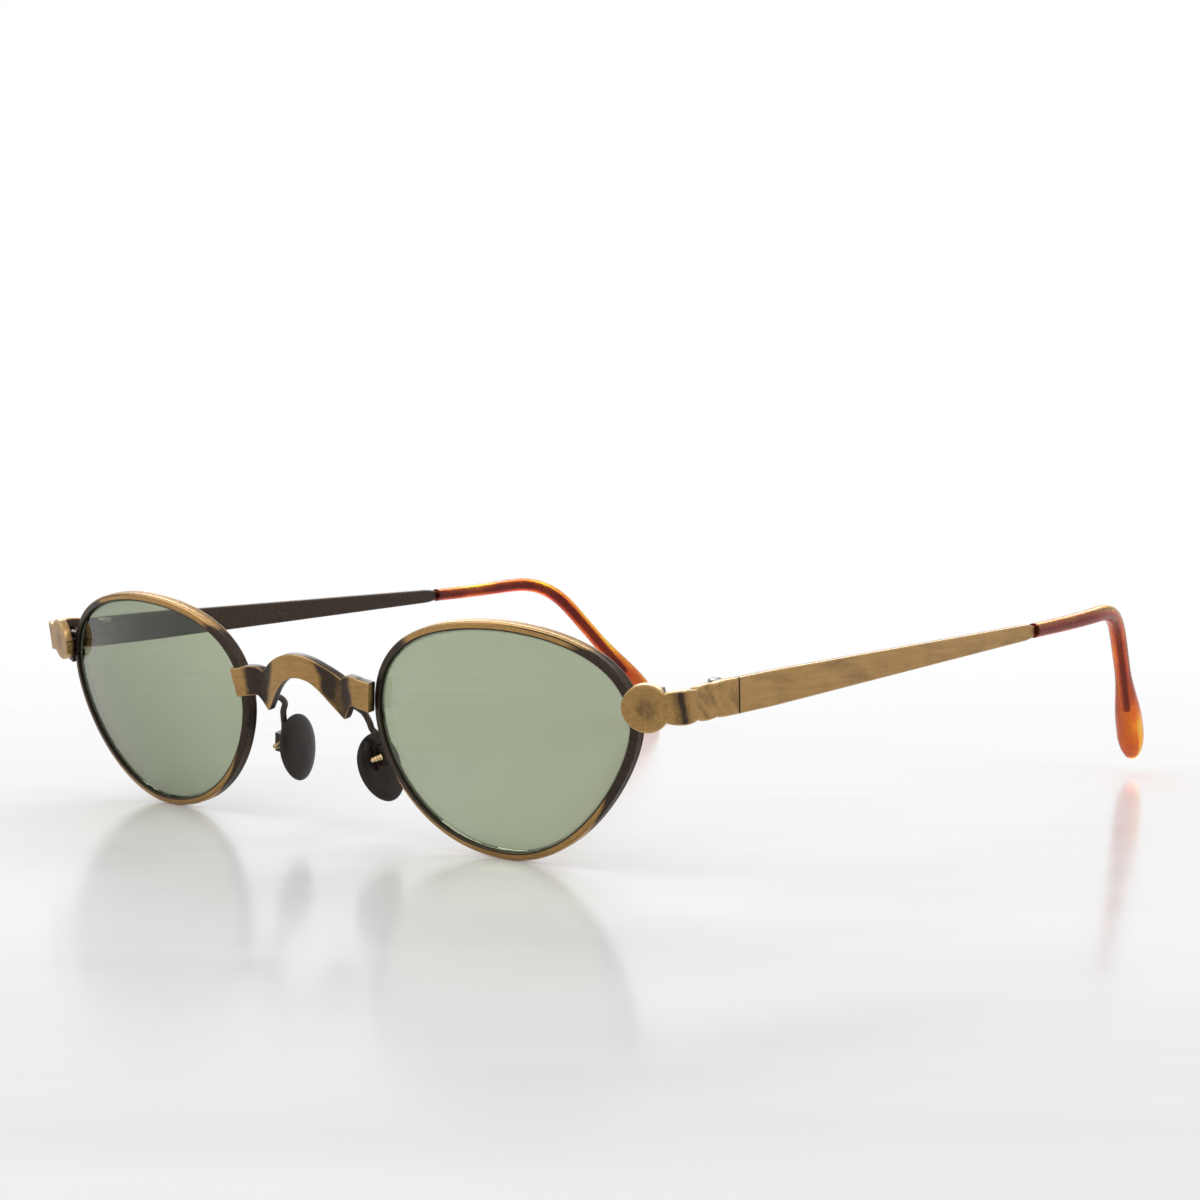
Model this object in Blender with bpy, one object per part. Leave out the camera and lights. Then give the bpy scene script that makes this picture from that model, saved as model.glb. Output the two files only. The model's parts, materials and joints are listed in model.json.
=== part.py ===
"""Metal sunglasses: two rimmed lenses, a notched plate bridge, rocking nose pads and folding temples.

All sizes are in metres with +Z up. The front faces -Y, +X is the wearer's left, and the temples run to
+Y. At rest the sunglasses stand open on a table, on both rims and both temple tips.

Three frames are used. The front frame has its origin midway between the lens centres, on the front
surface of the rims. The root frame has +Y along the temples, and the front leans in it by
PANTOSCOPIC_ANGLE. The temple frame of each side has its origin on the hinge's axis.
"""
import math

import bmesh
import bpy
from mathutils import Matrix, Vector
from mathutils.geometry import interpolate_bezier

MM = 0.001
LEFT, RIGHT = 1, -1

# Fits
SEAT_GAP = 0.12 * MM
RUNNING_GAP = 0.08 * MM
SWING_GAP = 0.15 * MM

# Lenses, as seen inside the rims, from the lens centre
LENS_SPACING = 67.4 * MM
LENS_NASAL = 19.8 * MM
LENS_TEMPORAL = 20.8 * MM
LENS_TOP = 14.5 * MM
LENS_BOTTOM = 15.7 * MM
LENS_TOP_AT = 0.9 * MM
LENS_BOTTOM_AT = 0.4 * MM
LENS_NASAL_AT = 1.3 * MM
LENS_TEMPORAL_AT = 2.8 * MM
QUARTER_FULLNESS = ((0.36, 0.80), (0.30, 0.56), (0.69, 0.38), (0.80, 0.44))
LENS_RADIUS = 73.0 * MM
LENS_THICKNESS = 1.4 * MM
LENS_SET_BACK = 0.55 * MM
LENS_EDGE_GAP = 0.10 * MM
LENS_BEVEL = 0.35 * MM
WRAP_ANGLE = math.radians(4.2)

# A groove or bevel is this much of its height wide on each side of its middle
BEVEL_SLOPE = 0.75

# How far the middle of a quarter round stands in from its corner, as a share of its radius
ROUND_INSET = 1 - math.sqrt(0.5)

# Rims
RIM_FACE = 1.1 * MM
RIM_DEPTH = 1.85 * MM
RIM_EDGE = 0.12 * MM
RIM_SHOULDER = 0.28 * MM
RIM_BACK_ROUND = 0.5 * MM
GROOVE_DEPTH = 0.55 * MM
RIM_SPLIT = 0.3 * MM
RIM_STATIONS = 64
LENS_STATIONS = 56

# The front against the temples
PANTOSCOPIC_ANGLE = math.radians(7.715)

# The photographed pair has been bent a little in use: the left temple is set higher than the right one,
# the left end piece sits lower and drops less, the right temple is folded in a little, and the pads sit
# at different heights. Zero for each gives a straight pair.
TEMPLE_TWIST = math.radians(0.565)
END_PIECE_SKEW = 0.62 * MM
STRIP_DROP_SKEW = 0.32 * MM
RIGHT_TEMPLE_FOLD = math.radians(1.3)
RIGHT_PAD_ROCK = math.radians(9.0)
PAD_SKEW = 0.45 * MM

# Bridge plate: half outlines, from the middle outwards, with Bezier handles
BRIDGE_THICKNESS = 1.25 * MM
BRIDGE_EDGE = 0.14 * MM
ARCH_TOP = 9.3 * MM
ARCH_UNDER = 5.9 * MM
NOTCH_X = 7.8 * MM
NOTCH_TOP = 6.15 * MM
POINT_X = 7.45 * MM
POINT_BOTTOM = 0.45 * MM
TAB_X = 11.7 * MM
TAB_TOP = 6.5 * MM
TAB_BOTTOM = 2.3 * MM
BUMP_TOP = 6.95 * MM
BRIDGE_VALLEY = 0.65 * MM
BRIDGE_VALLEY_WIDTH = 2.1 * MM
BRIDGE_CROWN = 0.4 * MM
BRIDGE_CROWN_WIDTH = 4.0 * MM
TAB_END_DROP = 0.3 * MM
TAB_END_SLANT = 0.8 * MM
HOLLOW_RISE = 0.15 * MM

# Where the Bezier handles of the bridge's outlines lie, as shares of each span
ARCH_TOP_HANDLES = (0.41, 0.72)
ARCH_UNDER_HANDLES = (0.46, 0.66)
ARCH_FALL_HANDLE = 0.5
BUMP_HANDLES = (0.2, 0.7)
HOLLOW_AT = 0.38
HOLLOW_HANDLE = 0.3

# End pieces: a disc, then a scalloped strip that turns back to the hinge
DISC_RADIUS = 3.15 * MM
DISC_REACH = 23.7 * MM
DISC_Z = 5.92 * MM
DISC_STANDOFF = 0.6 * MM
STRIP_THICKNESS = 1.15 * MM
STRIP_EDGE = 0.14 * MM
DISC_TURN = math.radians(20.0)
CORNER_START = 4.0 * MM
CORNER_RADIUS = 2.0 * MM
STRIP_STRAIGHT = 9.4 * MM
STRIP_DROP = 0.75 * MM
STRIP_HALF_HEIGHT = 2.34 * MM

# Each scallop runs from its start to the next one's: (start, half height at its start, at its top)
SCALLOPS = ((2.5 * MM, 1.78 * MM, 2.2 * MM), (7.3 * MM, 1.78 * MM, 2.32 * MM),
            (11.3 * MM, 2.08 * MM, STRIP_HALF_HEIGHT))

# Rim locks
LOCK_HEIGHT = 4.35 * MM
LOCK_BLOCK = 1.85 * MM
LOCK_WIDTH = 3.3 * MM
LOCK_DEPTH = 3.0 * MM
LOCK_CHAMFER = 0.3 * MM
LOCK_SCREW_RADIUS = 0.5 * MM
LOCK_SCREW_HEAD = (0.95 * MM, 0.6 * MM)

# Screw heads: the dome, crown and slot as shares of the head's height or radius
SCREW_DOME = 0.35
SCREW_CROWN = 0.8
SCREW_SLOT_WIDTH = 0.32
SCREW_SLOT_DEPTH = 0.45
SCREW_SIDES = 12

# Hinges
HINGE_INSET = 1.5 * MM
HINGE_SETBACK = 1.4 * MM
BARREL_RADIUS = 1.15 * MM
BARREL_HEIGHT = 3.3 * MM
HINGE_SCREW_RADIUS = 0.55 * MM
HINGE_SCREW_HEAD = (0.95 * MM, 0.55 * MM)
KNUCKLE_ARM_START = 0.23 * MM
KNUCKLE_OVERLAP = 0.6 * MM
LEAF_CLEARANCE = 0.4 * MM
LEAF_THICKNESS = 0.8 * MM
LEAF_LENGTH = 4.6 * MM
LEAF_HEIGHT = 2.9 * MM

# Temples
TEMPLE_SPLAY = math.radians(0.7)
BLADE_LENGTH = 76.9 * MM
BLADE_PARALLEL = 8.0 * MM
BLADE_END_HEIGHT = 2.45 * MM
BLADE_EDGE = 0.12 * MM
BLADE_INNER_EDGE = 0.45 * MM
NECK_LENGTH = 4.0 * MM
CORE_HEIGHT = 1.2 * MM
CORE_WIDTH = 0.9 * MM
CORE_LENGTH = 55.0 * MM
CORE_END_GAP = 0.4 * MM
CORE_STATIONS = 17

# Temple tips
TIP_LENGTH = 68.15 * MM
EAR_BEND_START = 20.0 * MM
EAR_BEND_LENGTH = 19.0 * MM
EAR_BEND_ANGLE = math.radians(48.7)
TIP_RISE_ANGLE = math.radians(1.7)
TIP_DROOP_START = 56.0 * MM
TIP_DROOP_ANGLE = math.radians(14.0)
TOE_IN_START = 13.5 * MM
TOE_IN_LENGTH = 24.0 * MM
TOE_IN_ANGLE = math.radians(19.5)
SLEEVE_HEIGHT = 2.25 * MM
SLEEVE_WIDTH = 2.1 * MM
BEND_THICKNESS = 2.65 * MM
PADDLE_HEIGHT = 4.6 * MM
PADDLE_WIDTH = 4.6 * MM
PADDLE_START = 45.0 * MM
PADDLE_FULL = 60.0 * MM
PADDLE_ROUNDING = 6.0 * MM
SLEEVE_STATIONS = 28

# Nose pads
PAD_SCREW_X = 10.1 * MM
PAD_SCREW_Y = 5.3 * MM
PAD_SCREW_Z = -5.7 * MM
PAD_LEAN = math.radians(11.0)
PAD_SPLAY = math.radians(8.0)
PAD_TILT = math.radians(7.0)
PAD_LENGTH = 10.0 * MM
PAD_WIDTH = 7.7 * MM
PAD_TAPER = 0.1
PAD_THICKNESS = 2.0 * MM
PAD_OFFSET_BACK = 0.15 * MM
PAD_OFFSET_DOWN = 1.2 * MM
PAD_FLAT = 0.75 * MM
MOUNT_CLEARANCE = 0.25 * MM
MOUNT_THICKNESS = 0.5 * MM
MOUNT_WIDTH = 2.6 * MM
MOUNT_HEIGHT = 3.6 * MM
STUD_THICKNESS = 0.8 * MM
STUD_HEIGHT = 1.8 * MM
STUD_REACH = 0.55 * MM
BOX_CHEEK = 0.45 * MM
BOX_MOUTH = 0.27 * MM
BOX_FLOOR_GAP = 0.2 * MM
BOX_HEIGHT = 2.8 * MM
PAD_SCREW_RADIUS = 0.33 * MM
PAD_SCREW_HEAD = (0.5 * MM, 0.45 * MM)
PAD_SCREW_THREADS = 4
PAD_SCREW_PITCH = 0.45 * MM
PAD_SCREW_THREAD_HEIGHT = 0.14 * MM

# Pad arms: out of the bridge's back, back over the nose side and down to the pad box. The points are
# measured from the root, on the left.
ARM_RADIUS = 0.45 * MM
ARM_ROOT = (7.2 * MM, 1.95 * MM)
ARM_RUN = ((0.2 * MM, 1.05 * MM, -0.25 * MM), (0.65 * MM, 2.2 * MM, -1.4 * MM),
           (1.35 * MM, 2.35 * MM, -2.7 * MM), (1.7 * MM, 2.55 * MM, -4.0 * MM))
ARM_FOOT = 1.0 * MM
ARM_SEAT = 0.3 * MM


def material(name, colour, roughness, metallic=0.0, alpha=1.0):
    """A plain Principled material."""
    made = bpy.data.materials.new(name)
    made.use_nodes = True
    shader = made.node_tree.nodes["Principled BSDF"]
    shader.inputs["Base Color"].default_value = (*colour, 1.0)
    shader.inputs["Roughness"].default_value = roughness
    shader.inputs["Metallic"].default_value = metallic
    shader.inputs["Alpha"].default_value = alpha
    made.diffuse_color = (*colour, alpha)
    return made


def solid(name, mesh_data, finish, parent):
    """One named object from a closed bmesh, with its faces pointing out and its hard edges kept."""
    bmesh.ops.recalc_face_normals(mesh_data, faces=mesh_data.faces)
    if mesh_data.calc_volume(signed=True) < 0:
        bmesh.ops.reverse_faces(mesh_data, faces=mesh_data.faces)
    mesh = bpy.data.meshes.new(name)
    mesh_data.to_mesh(mesh)
    mesh_data.free()
    mesh.shade_smooth()
    mesh.set_sharp_from_angle(angle=math.radians(38))
    mesh.materials.append(finish)
    made = bpy.data.objects.new(name, mesh)
    bpy.context.collection.objects.link(made)
    made.parent = parent
    return made


def empty(name, parent=None, place=None):
    """A frame that pieces hang on."""
    made = bpy.data.objects.new(name, None)
    bpy.context.collection.objects.link(made)
    made.empty_display_size = 5 * MM
    made.parent = parent
    if place is not None:
        made.matrix_local = place
    return made


def loft(rings, closed=False):
    """A closed body through rings of points, with a flat cap at each end unless the path is closed."""
    made = bmesh.new()
    grid = [[made.verts.new(point) for point in ring] for ring in rings]
    count = len(grid[0])
    pairs = list(zip(grid, grid[1:]))
    if closed:
        pairs.append((grid[-1], grid[0]))
    for ring, following in pairs:
        for index in range(count):
            after = (index + 1) % count
            made.faces.new((ring[index], ring[after], following[after], following[index]))
    if not closed:
        made.faces.new(grid[0])
        made.faces.new(grid[-1])
    return made


def prism(outline, low, high, axes):
    """A straight body: an outline in the plane of two axes, between two heights on the third."""
    across, along, up = axes
    rings = [[across * a + along * b + up * height for a, b in outline] for height in (low, high)]
    return loft(rings)


def circle(radius, count):
    """Points of a circle round the origin."""
    step = 2 * math.pi / count
    return [(radius * math.cos(step * index), radius * math.sin(step * index)) for index in range(count)]


def turned(profile, place, count=20):
    """A turned body: (radius, height) pairs spun about the local Z of a matrix."""
    rings = [[place @ Vector((a, b, height)) for a, b in circle(radius, count)]
             for radius, height in profile]
    return loft(rings)


def boolean(target, tool, operation):
    """Joins a tool to an object, or cuts it away, and hides the tool."""
    change = target.modifiers.new(f"{operation.lower()}_{tool.name}", "BOOLEAN")
    change.operation = operation
    change.solver = "EXACT"
    change.object = tool
    tool.hide_render = True
    tool.display_type = "WIRE"


def smooth(value):
    """Runs from 0 to 1 with level ends."""
    value = min(1.0, max(0.0, value))
    return value * value * (3.0 - 2.0 * value)


def side_name(side):
    return "left" if side == LEFT else "right"


def to_side(points, side):
    """Points of the wearer's left side, or their mirror image."""
    return [Vector((side * point[0], point[1], point[2])) for point in points]


# Lens outline and front surface

def outline_points(steps=48):
    """The lens outline seen from the front, clockwise from its top, as fine (u, v) points."""
    top = Vector((LENS_TOP_AT, LENS_TOP))
    temporal = Vector((LENS_TEMPORAL, LENS_TEMPORAL_AT))
    bottom = Vector((LENS_BOTTOM_AT, -LENS_BOTTOM))
    nasal = Vector((-LENS_NASAL, LENS_NASAL_AT))
    corners = (top, temporal, bottom, nasal, top)
    points = []
    for index, (start_full, end_full) in enumerate(QUARTER_FULLNESS):
        start, end = corners[index], corners[index + 1]
        reach = end - start
        if index % 2 == 0:
            handles = Vector((reach.x * start_full, 0)), Vector((0, -reach.y * end_full))
        else:
            handles = Vector((0, reach.y * start_full)), Vector((-reach.x * end_full, 0))
        curve = interpolate_bezier(start, start + handles[0], end + handles[1], end, steps + 1)
        points.extend(point.to_2d() for point in curve[:-1])
    return points


OUTLINE = outline_points()
OUTLINE_STEPS = [(OUTLINE[(i + 1) % len(OUTLINE)] - OUTLINE[i]).length for i in range(len(OUTLINE))]
OUTLINE_LENGTH = sum(OUTLINE_STEPS)


def outline_at(distance):
    """The outline's point and outward direction, at a distance along it from its top."""
    distance %= OUTLINE_LENGTH
    index = 0
    while distance > OUTLINE_STEPS[index]:
        distance -= OUTLINE_STEPS[index]
        index += 1
    count = len(OUTLINE)
    here, after = OUTLINE[index], OUTLINE[(index + 1) % count]
    share = distance / OUTLINE_STEPS[index]
    before, beyond = OUTLINE[index - 1], OUTLINE[(index + 2) % count]
    along = (after - before).normalized().lerp((beyond - here).normalized(), share).normalized()
    return here.lerp(after, share), Vector((-along.y, along.x))


def lock_distance():
    """The distance along the outline at which the rim is split, on its temporal side."""
    passed = 0.0
    for index, step in enumerate(OUTLINE_STEPS):
        if OUTLINE[index].x > 0 and OUTLINE[index + 1].y < LOCK_HEIGHT:
            return passed
        passed += step
    return passed


def on_front(point, depth):
    """A point of the left lens's plane, set on the curved front and moved back by a depth."""
    u, v = point
    sag = (u * u + v * v) / (2 * LENS_RADIUS) + depth
    cos, sin = math.cos(WRAP_ANGLE), math.sin(WRAP_ANGLE)
    return Vector((LENS_SPACING / 2 + u * cos - sag * sin, u * sin + sag * cos, v))


# Rims and lenses

def groove_centre():
    return LENS_SET_BACK + LENS_THICKNESS / 2


def rim_section():
    """The rim's section as (outward, back) pairs: a crowned face, a rounded back and a lens groove."""
    groove = groove_centre()
    half_groove = GROOVE_DEPTH * BEVEL_SLOPE
    shoulder, back_round = RIM_SHOULDER * ROUND_INSET, RIM_BACK_ROUND * ROUND_INSET
    return [
        (RIM_EDGE, 0.0),
        (RIM_FACE - RIM_SHOULDER, 0.0),
        (RIM_FACE - shoulder, shoulder),
        (RIM_FACE, RIM_SHOULDER),
        (RIM_FACE, RIM_DEPTH - RIM_BACK_ROUND),
        (RIM_FACE - back_round, RIM_DEPTH - back_round),
        (RIM_FACE - RIM_BACK_ROUND, RIM_DEPTH),
        (0.0, RIM_DEPTH),
        (0.0, groove + half_groove),
        (GROOVE_DEPTH, groove),
        (0.0, groove - half_groove),
        (0.0, RIM_EDGE),
    ]


def make_rim(side, finish, parent):
    start = lock_distance() + RIM_SPLIT / 2
    span = OUTLINE_LENGTH - RIM_SPLIT
    rings = []
    for index in range(RIM_STATIONS + 1):
        point, outward = outline_at(start + span * index / RIM_STATIONS)
        ring = [on_front(point + outward * out, back) for out, back in rim_section()]
        rings.append(to_side(ring, side))
    return solid(f"rim_{side_name(side)}", loft(rings), finish, parent)


def lens_ring(out, depth, share=1.0):
    """A loop round the lens, offset from its outline and drawn in to a share of its size."""
    ring = []
    for index in range(LENS_STATIONS):
        point, outward = outline_at(OUTLINE_LENGTH * index / LENS_STATIONS)
        ring.append(on_front((point + outward * out) * share, depth))
    return ring


def make_lens(side, finish, parent):
    """A curved lens with a bevelled edge that sits in the rim's groove."""
    groove = groove_centre()
    edge, front, back = -LENS_EDGE_GAP, LENS_SET_BACK, LENS_SET_BACK + LENS_THICKNESS
    half_bevel = (LENS_BEVEL + LENS_EDGE_GAP) * BEVEL_SLOPE
    shares = (0.15, 0.55)
    rings = [lens_ring(edge, front, share) for share in shares]
    rings += [lens_ring(edge, front), lens_ring(edge, groove - half_bevel)]
    rings += [lens_ring(LENS_BEVEL, groove)]
    rings += [lens_ring(edge, groove + half_bevel), lens_ring(edge, back)]
    rings += [lens_ring(edge, back, share) for share in reversed(shares)]
    rings = [to_side(ring, side) for ring in rings]
    return solid(f"lens_{side_name(side)}", loft(rings), finish, parent)


# Bridge

def bridge_face(x):
    """How far back the bridge's front face lies: proud in the middle, sunk at the notches."""
    rim_front = on_front(Vector((-LENS_NASAL, TAB_BOTTOM)), 0.0).y
    tab = rim_front - SEAT_GAP - BRIDGE_THICKNESS
    valley = BRIDGE_VALLEY * math.exp(-((abs(x) - NOTCH_X) / BRIDGE_VALLEY_WIDTH) ** 2)
    crown = BRIDGE_CROWN * math.exp(-(x / BRIDGE_CROWN_WIDTH) ** 2)
    return tab + valley - crown


def bridge_half():
    """Pairs of (x, z) points on the upper and lower outlines, from the middle to the tab's end."""
    tab_end = LENS_SPACING / 2 - LENS_NASAL

    def curve(points, count):
        return [Vector((p.x, p.y)) for p in interpolate_bezier(*[Vector(q) for q in points], count)]

    near, far = ARCH_TOP_HANDLES
    arch_mid = NOTCH_TOP + (ARCH_TOP - NOTCH_TOP) * ARCH_FALL_HANDLE
    upper = curve(((0, ARCH_TOP), (NOTCH_X * near, ARCH_TOP),
                   (NOTCH_X * far, arch_mid), (NOTCH_X, NOTCH_TOP)), 11)
    near, far = ARCH_UNDER_HANDLES
    under_mid = POINT_BOTTOM + (ARCH_UNDER - POINT_BOTTOM) * ARCH_FALL_HANDLE
    lower = curve(((0, ARCH_UNDER), (POINT_X * near, ARCH_UNDER),
                   (POINT_X * far, under_mid), (POINT_X, POINT_BOTTOM)), 11)
    near, far = BUMP_HANDLES
    bump = TAB_X - NOTCH_X
    upper += curve(((NOTCH_X, NOTCH_TOP), (NOTCH_X + bump * near, BUMP_TOP),
                    (NOTCH_X + bump * far, BUMP_TOP), (TAB_X, TAB_TOP)), 11)[1:]
    hollow_x = POINT_X + (TAB_X - POINT_X) * HOLLOW_AT
    hollow_z = TAB_BOTTOM + HOLLOW_RISE
    step = (hollow_x - POINT_X) * HOLLOW_HANDLE
    half = step / 2
    lower += curve(((POINT_X, POINT_BOTTOM), (POINT_X + half, POINT_BOTTOM - half),
                    (hollow_x - 3 * half, hollow_z - 3 * half), (hollow_x, hollow_z)), 7)[1:]
    lower += curve(((hollow_x, hollow_z), (hollow_x + half, hollow_z + half),
                    (TAB_X - step, TAB_BOTTOM), (TAB_X, TAB_BOTTOM)), 5)[1:]
    upper.append(Vector((tab_end - SEAT_GAP, TAB_TOP - TAB_END_DROP)))
    lower.append(Vector((tab_end - SEAT_GAP - TAB_END_SLANT, TAB_BOTTOM - TAB_END_DROP)))
    return list(zip(upper, lower))


def plate_ring(top, bottom, face, thickness, edge):
    """One slice of a plate with chamfered edges; top, bottom are (x, z) and face(x) gives its front."""
    down = (bottom - top).normalized() * edge
    ring = []
    for corner, inward, order in ((top, down, 1), (bottom, -down, -1)):
        loop = [(corner + inward, 0.0), (corner, edge), (corner, thickness - edge),
                (corner + inward, thickness)]
        ring.extend(loop[::-1] if order == 1 else loop)
    return [Vector((point.x, face(point.x) + back, point.y)) for point, back in ring]


def make_bridge(finish, parent):
    half = bridge_half()
    mirrored = [(Vector((-a.x, a.y)), Vector((-b.x, b.y))) for a, b in reversed(half[1:])]
    rings = [plate_ring(top, bottom, bridge_face, BRIDGE_THICKNESS, BRIDGE_EDGE)
             for top, bottom in mirrored + half]
    return solid("bridge", loft(rings), finish, parent)


# End pieces

def disc_centre(side):
    """The middle of the disc's front face, which stands in front of the rim on the lock blocks."""
    disc_x = LENS_SPACING / 2 + DISC_REACH
    rim_edge = on_front(Vector((LENS_TEMPORAL, DISC_Z)), 0.0)
    lean = math.tan(DISC_TURN) * (disc_x - rim_edge.x)
    clear = (STRIP_THICKNESS + DISC_STANDOFF) / math.cos(DISC_TURN)
    return Vector((disc_x, rim_edge.y + lean - clear, DISC_Z - side * END_PIECE_SKEW))


def strip_length():
    return CORNER_START + CORNER_RADIUS * corner_angle() + STRIP_STRAIGHT


def corner_angle():
    return math.pi / 2 - TEMPLE_SPLAY - DISC_TURN


def strip_point(distance, side):
    """The strip's outer face at a distance from the disc's middle: place and heading, seen from above."""
    centre = disc_centre(side)
    straight = min(distance, CORNER_START)
    x = centre.x + straight * math.cos(DISC_TURN)
    y = centre.y + straight * math.sin(DISC_TURN)
    turn = min(max(distance - CORNER_START, 0.0) / CORNER_RADIUS, corner_angle())
    heading = DISC_TURN + turn
    x += CORNER_RADIUS * (math.sin(heading) - math.sin(DISC_TURN))
    y += CORNER_RADIUS * (math.cos(DISC_TURN) - math.cos(heading))
    beyond = max(distance - CORNER_START - CORNER_RADIUS * corner_angle(), 0.0)
    return Vector((x + beyond * math.cos(heading), y + beyond * math.sin(heading), 0.0)), heading


def strip_frame(distance, side):
    """Place, outward direction and up direction of the strip in the front frame, as if on the left.

    The strip leaves the disc square to the leaning front and arrives square to the temple.
    """
    point, heading = strip_point(distance, side)
    start = strip_point(CORNER_START, side)[0].y
    end = strip_point(strip_length(), side)[0].y
    share = max(point.y - start, 0.0) / (end - start)
    full_lean = PANTOSCOPIC_ANGLE - side * TEMPLE_TWIST
    turned_down = math.tan(full_lean) * (end - start) * share * share / 2
    stepped_down = (STRIP_DROP - side * STRIP_DROP_SKEW) * smooth(share)
    point.z = disc_centre(side).z - turned_down - stepped_down
    lean = full_lean * smooth((distance - CORNER_START) / (strip_length() - CORNER_START))
    outward = Vector((math.sin(heading), -math.cos(heading), 0.0))
    up = Vector((0.0, math.sin(lean), math.cos(lean)))
    return point, outward, up


def end_piece_outline():
    """(distance, half height) pairs: the disc's round, then scallops, then level to the hinge."""
    first, last = math.radians(5), math.pi - math.asin(SCALLOPS[0][1] / DISC_RADIUS)
    count, steps = 14, 10
    pairs = []
    for index in range(count + 1):
        angle = first + (last - first) * index / count
        pairs.append((-DISC_RADIUS * math.cos(angle), DISC_RADIUS * math.sin(angle)))
    pairs[-1] = (SCALLOPS[0][0], SCALLOPS[0][1])
    for (start, low, top), (end, next_low, _) in zip(SCALLOPS, SCALLOPS[1:]):
        middle, half = (start + end) / 2, (end - start) / 2
        for index in range(1, steps + 1):
            angle = math.pi * index / steps
            base = low if angle < math.pi / 2 else next_low
            pairs.append((middle - half * math.cos(angle), base + (top - base) * math.sin(angle)))
    start, low, top = SCALLOPS[-1]
    half = (start - SCALLOPS[-2][0]) / 2
    for index in range(1, steps // 2 + 1):
        angle = math.pi * index / steps
        pairs.append((start + half * (1 - math.cos(angle)), low + (top - low) * math.sin(angle)))
    pairs.append((strip_length(), STRIP_HALF_HEIGHT))
    return pairs


def make_end_piece(side, finish, parent):
    rings = []
    for distance, half in end_piece_outline():
        point, outward, up = strip_frame(distance, side)
        edge = min(STRIP_EDGE, half / 2)
        section = [(0.0, half - edge), (0.0, edge - half), (edge, -half), (STRIP_THICKNESS - edge, -half),
                   (STRIP_THICKNESS, edge - half), (STRIP_THICKNESS, half - edge),
                   (STRIP_THICKNESS - edge, half), (edge, half)]
        rings.append(to_side([point - outward * back + up * height for back, height in section], side))
    return solid(f"end_piece_{side_name(side)}", loft(rings), finish, parent)


# Rim locks

def lock_frame(side):
    """A frame at the rim's split: X away from the rim, Y back, Z up along the rim's outer side."""
    distance = lock_distance()
    below = outline_at(distance + LOCK_BLOCK)
    above = outline_at(distance - LOCK_BLOCK)
    middle = outline_at(distance)
    outer = [on_front(point + outward * RIM_FACE, RIM_DEPTH / 2) for point, outward in (below, above)]
    back = Vector((-math.sin(DISC_TURN), math.cos(DISC_TURN), 0.0))
    up = outer[1] - outer[0]
    up = (up - back * up.dot(back)).normalized()
    away = back.cross(up)
    origin = on_front(middle[0] + middle[1] * RIM_FACE, RIM_DEPTH / 2)
    disc_back = (disc_centre(side) - origin).dot(back) + STRIP_THICKNESS + SEAT_GAP
    origin = origin + back * disc_back
    return Matrix((away, back, up)).transposed().to_4x4(), origin


def lock_matrix(side):
    turn, origin = lock_frame(side)
    placed = Matrix.Translation(origin) @ turn
    return Matrix.Diagonal((side, 1, 1, 1)) @ placed


def make_lock(side, finishes, parent):
    """Two blocks that close the split rim, and the screw that holds them."""
    place = lock_matrix(side)
    low, high = SEAT_GAP, SEAT_GAP + LOCK_WIDTH
    outline = [(low, 0.0), (high - LOCK_CHAMFER, 0.0), (high, LOCK_CHAMFER),
               (high, LOCK_DEPTH - LOCK_CHAMFER), (high - LOCK_CHAMFER, LOCK_DEPTH), (low, LOCK_DEPTH)]
    middle = Vector(((low + high) / 2, LOCK_DEPTH / 2, 0.0))
    spans = {"upper": (RIM_SPLIT / 2, LOCK_BLOCK), "lower": (-LOCK_BLOCK, -RIM_SPLIT / 2)}
    name = side_name(side)
    for level, (bottom, top) in spans.items():
        body = prism(outline, bottom, top, (Vector((1, 0, 0)), Vector((0, 1, 0)), Vector((0, 0, 1))))
        bmesh.ops.transform(body, matrix=place, verts=body.verts)
        block = solid(f"rim_lock_{level}_{name}", body, finishes["dark"], parent)
        reach = 2 * LOCK_BLOCK
        bore = turned([(LOCK_SCREW_RADIUS + RUNNING_GAP, -reach), (LOCK_SCREW_RADIUS + RUNNING_GAP, reach)],
                      place @ Matrix.Translation(middle))
        boolean(block, solid(f"cut_rim_lock_{level}_{name}", bore, finishes["dark"], parent), "DIFFERENCE")
    shank = [(LOCK_SCREW_RADIUS, -LOCK_BLOCK)]
    make_screw(f"rim_lock_screw_{name}", place @ Matrix.Translation(middle), shank, LOCK_BLOCK + SEAT_GAP,
               LOCK_SCREW_HEAD, finishes["dark"], parent)


def make_screw(name, place, shank, seat, head, finish, parent):
    """A screw along the local Z of a matrix: shank is its (radius, height) profile up to the seat.

    The head is domed and slotted, and head is its radius and height.
    """
    radius, height = head
    dome, narrow = height * SCREW_DOME, radius * SCREW_CROWN
    profile = shank + [(shank[-1][0], seat), (radius, seat), (radius, seat + height - dome),
                       (narrow, seat + height)]
    screw = solid(name, turned(profile, place, SCREW_SIDES), finish, parent)
    half, depth = radius * SCREW_SLOT_WIDTH / 2, height * SCREW_SLOT_DEPTH
    reach = 2 * radius
    slot = prism([(-reach, -half), (reach, -half), (reach, half), (-reach, half)],
                 seat + height - depth, seat + 2 * height,
                 (Vector((1, 0, 0)), Vector((0, 1, 0)), Vector((0, 0, 1))))
    bmesh.ops.transform(slot, matrix=place, verts=slot.verts)
    boolean(screw, solid(f"cut_{name}", slot, finish, parent), "DIFFERENCE")
    return screw


# Hinges

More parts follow.
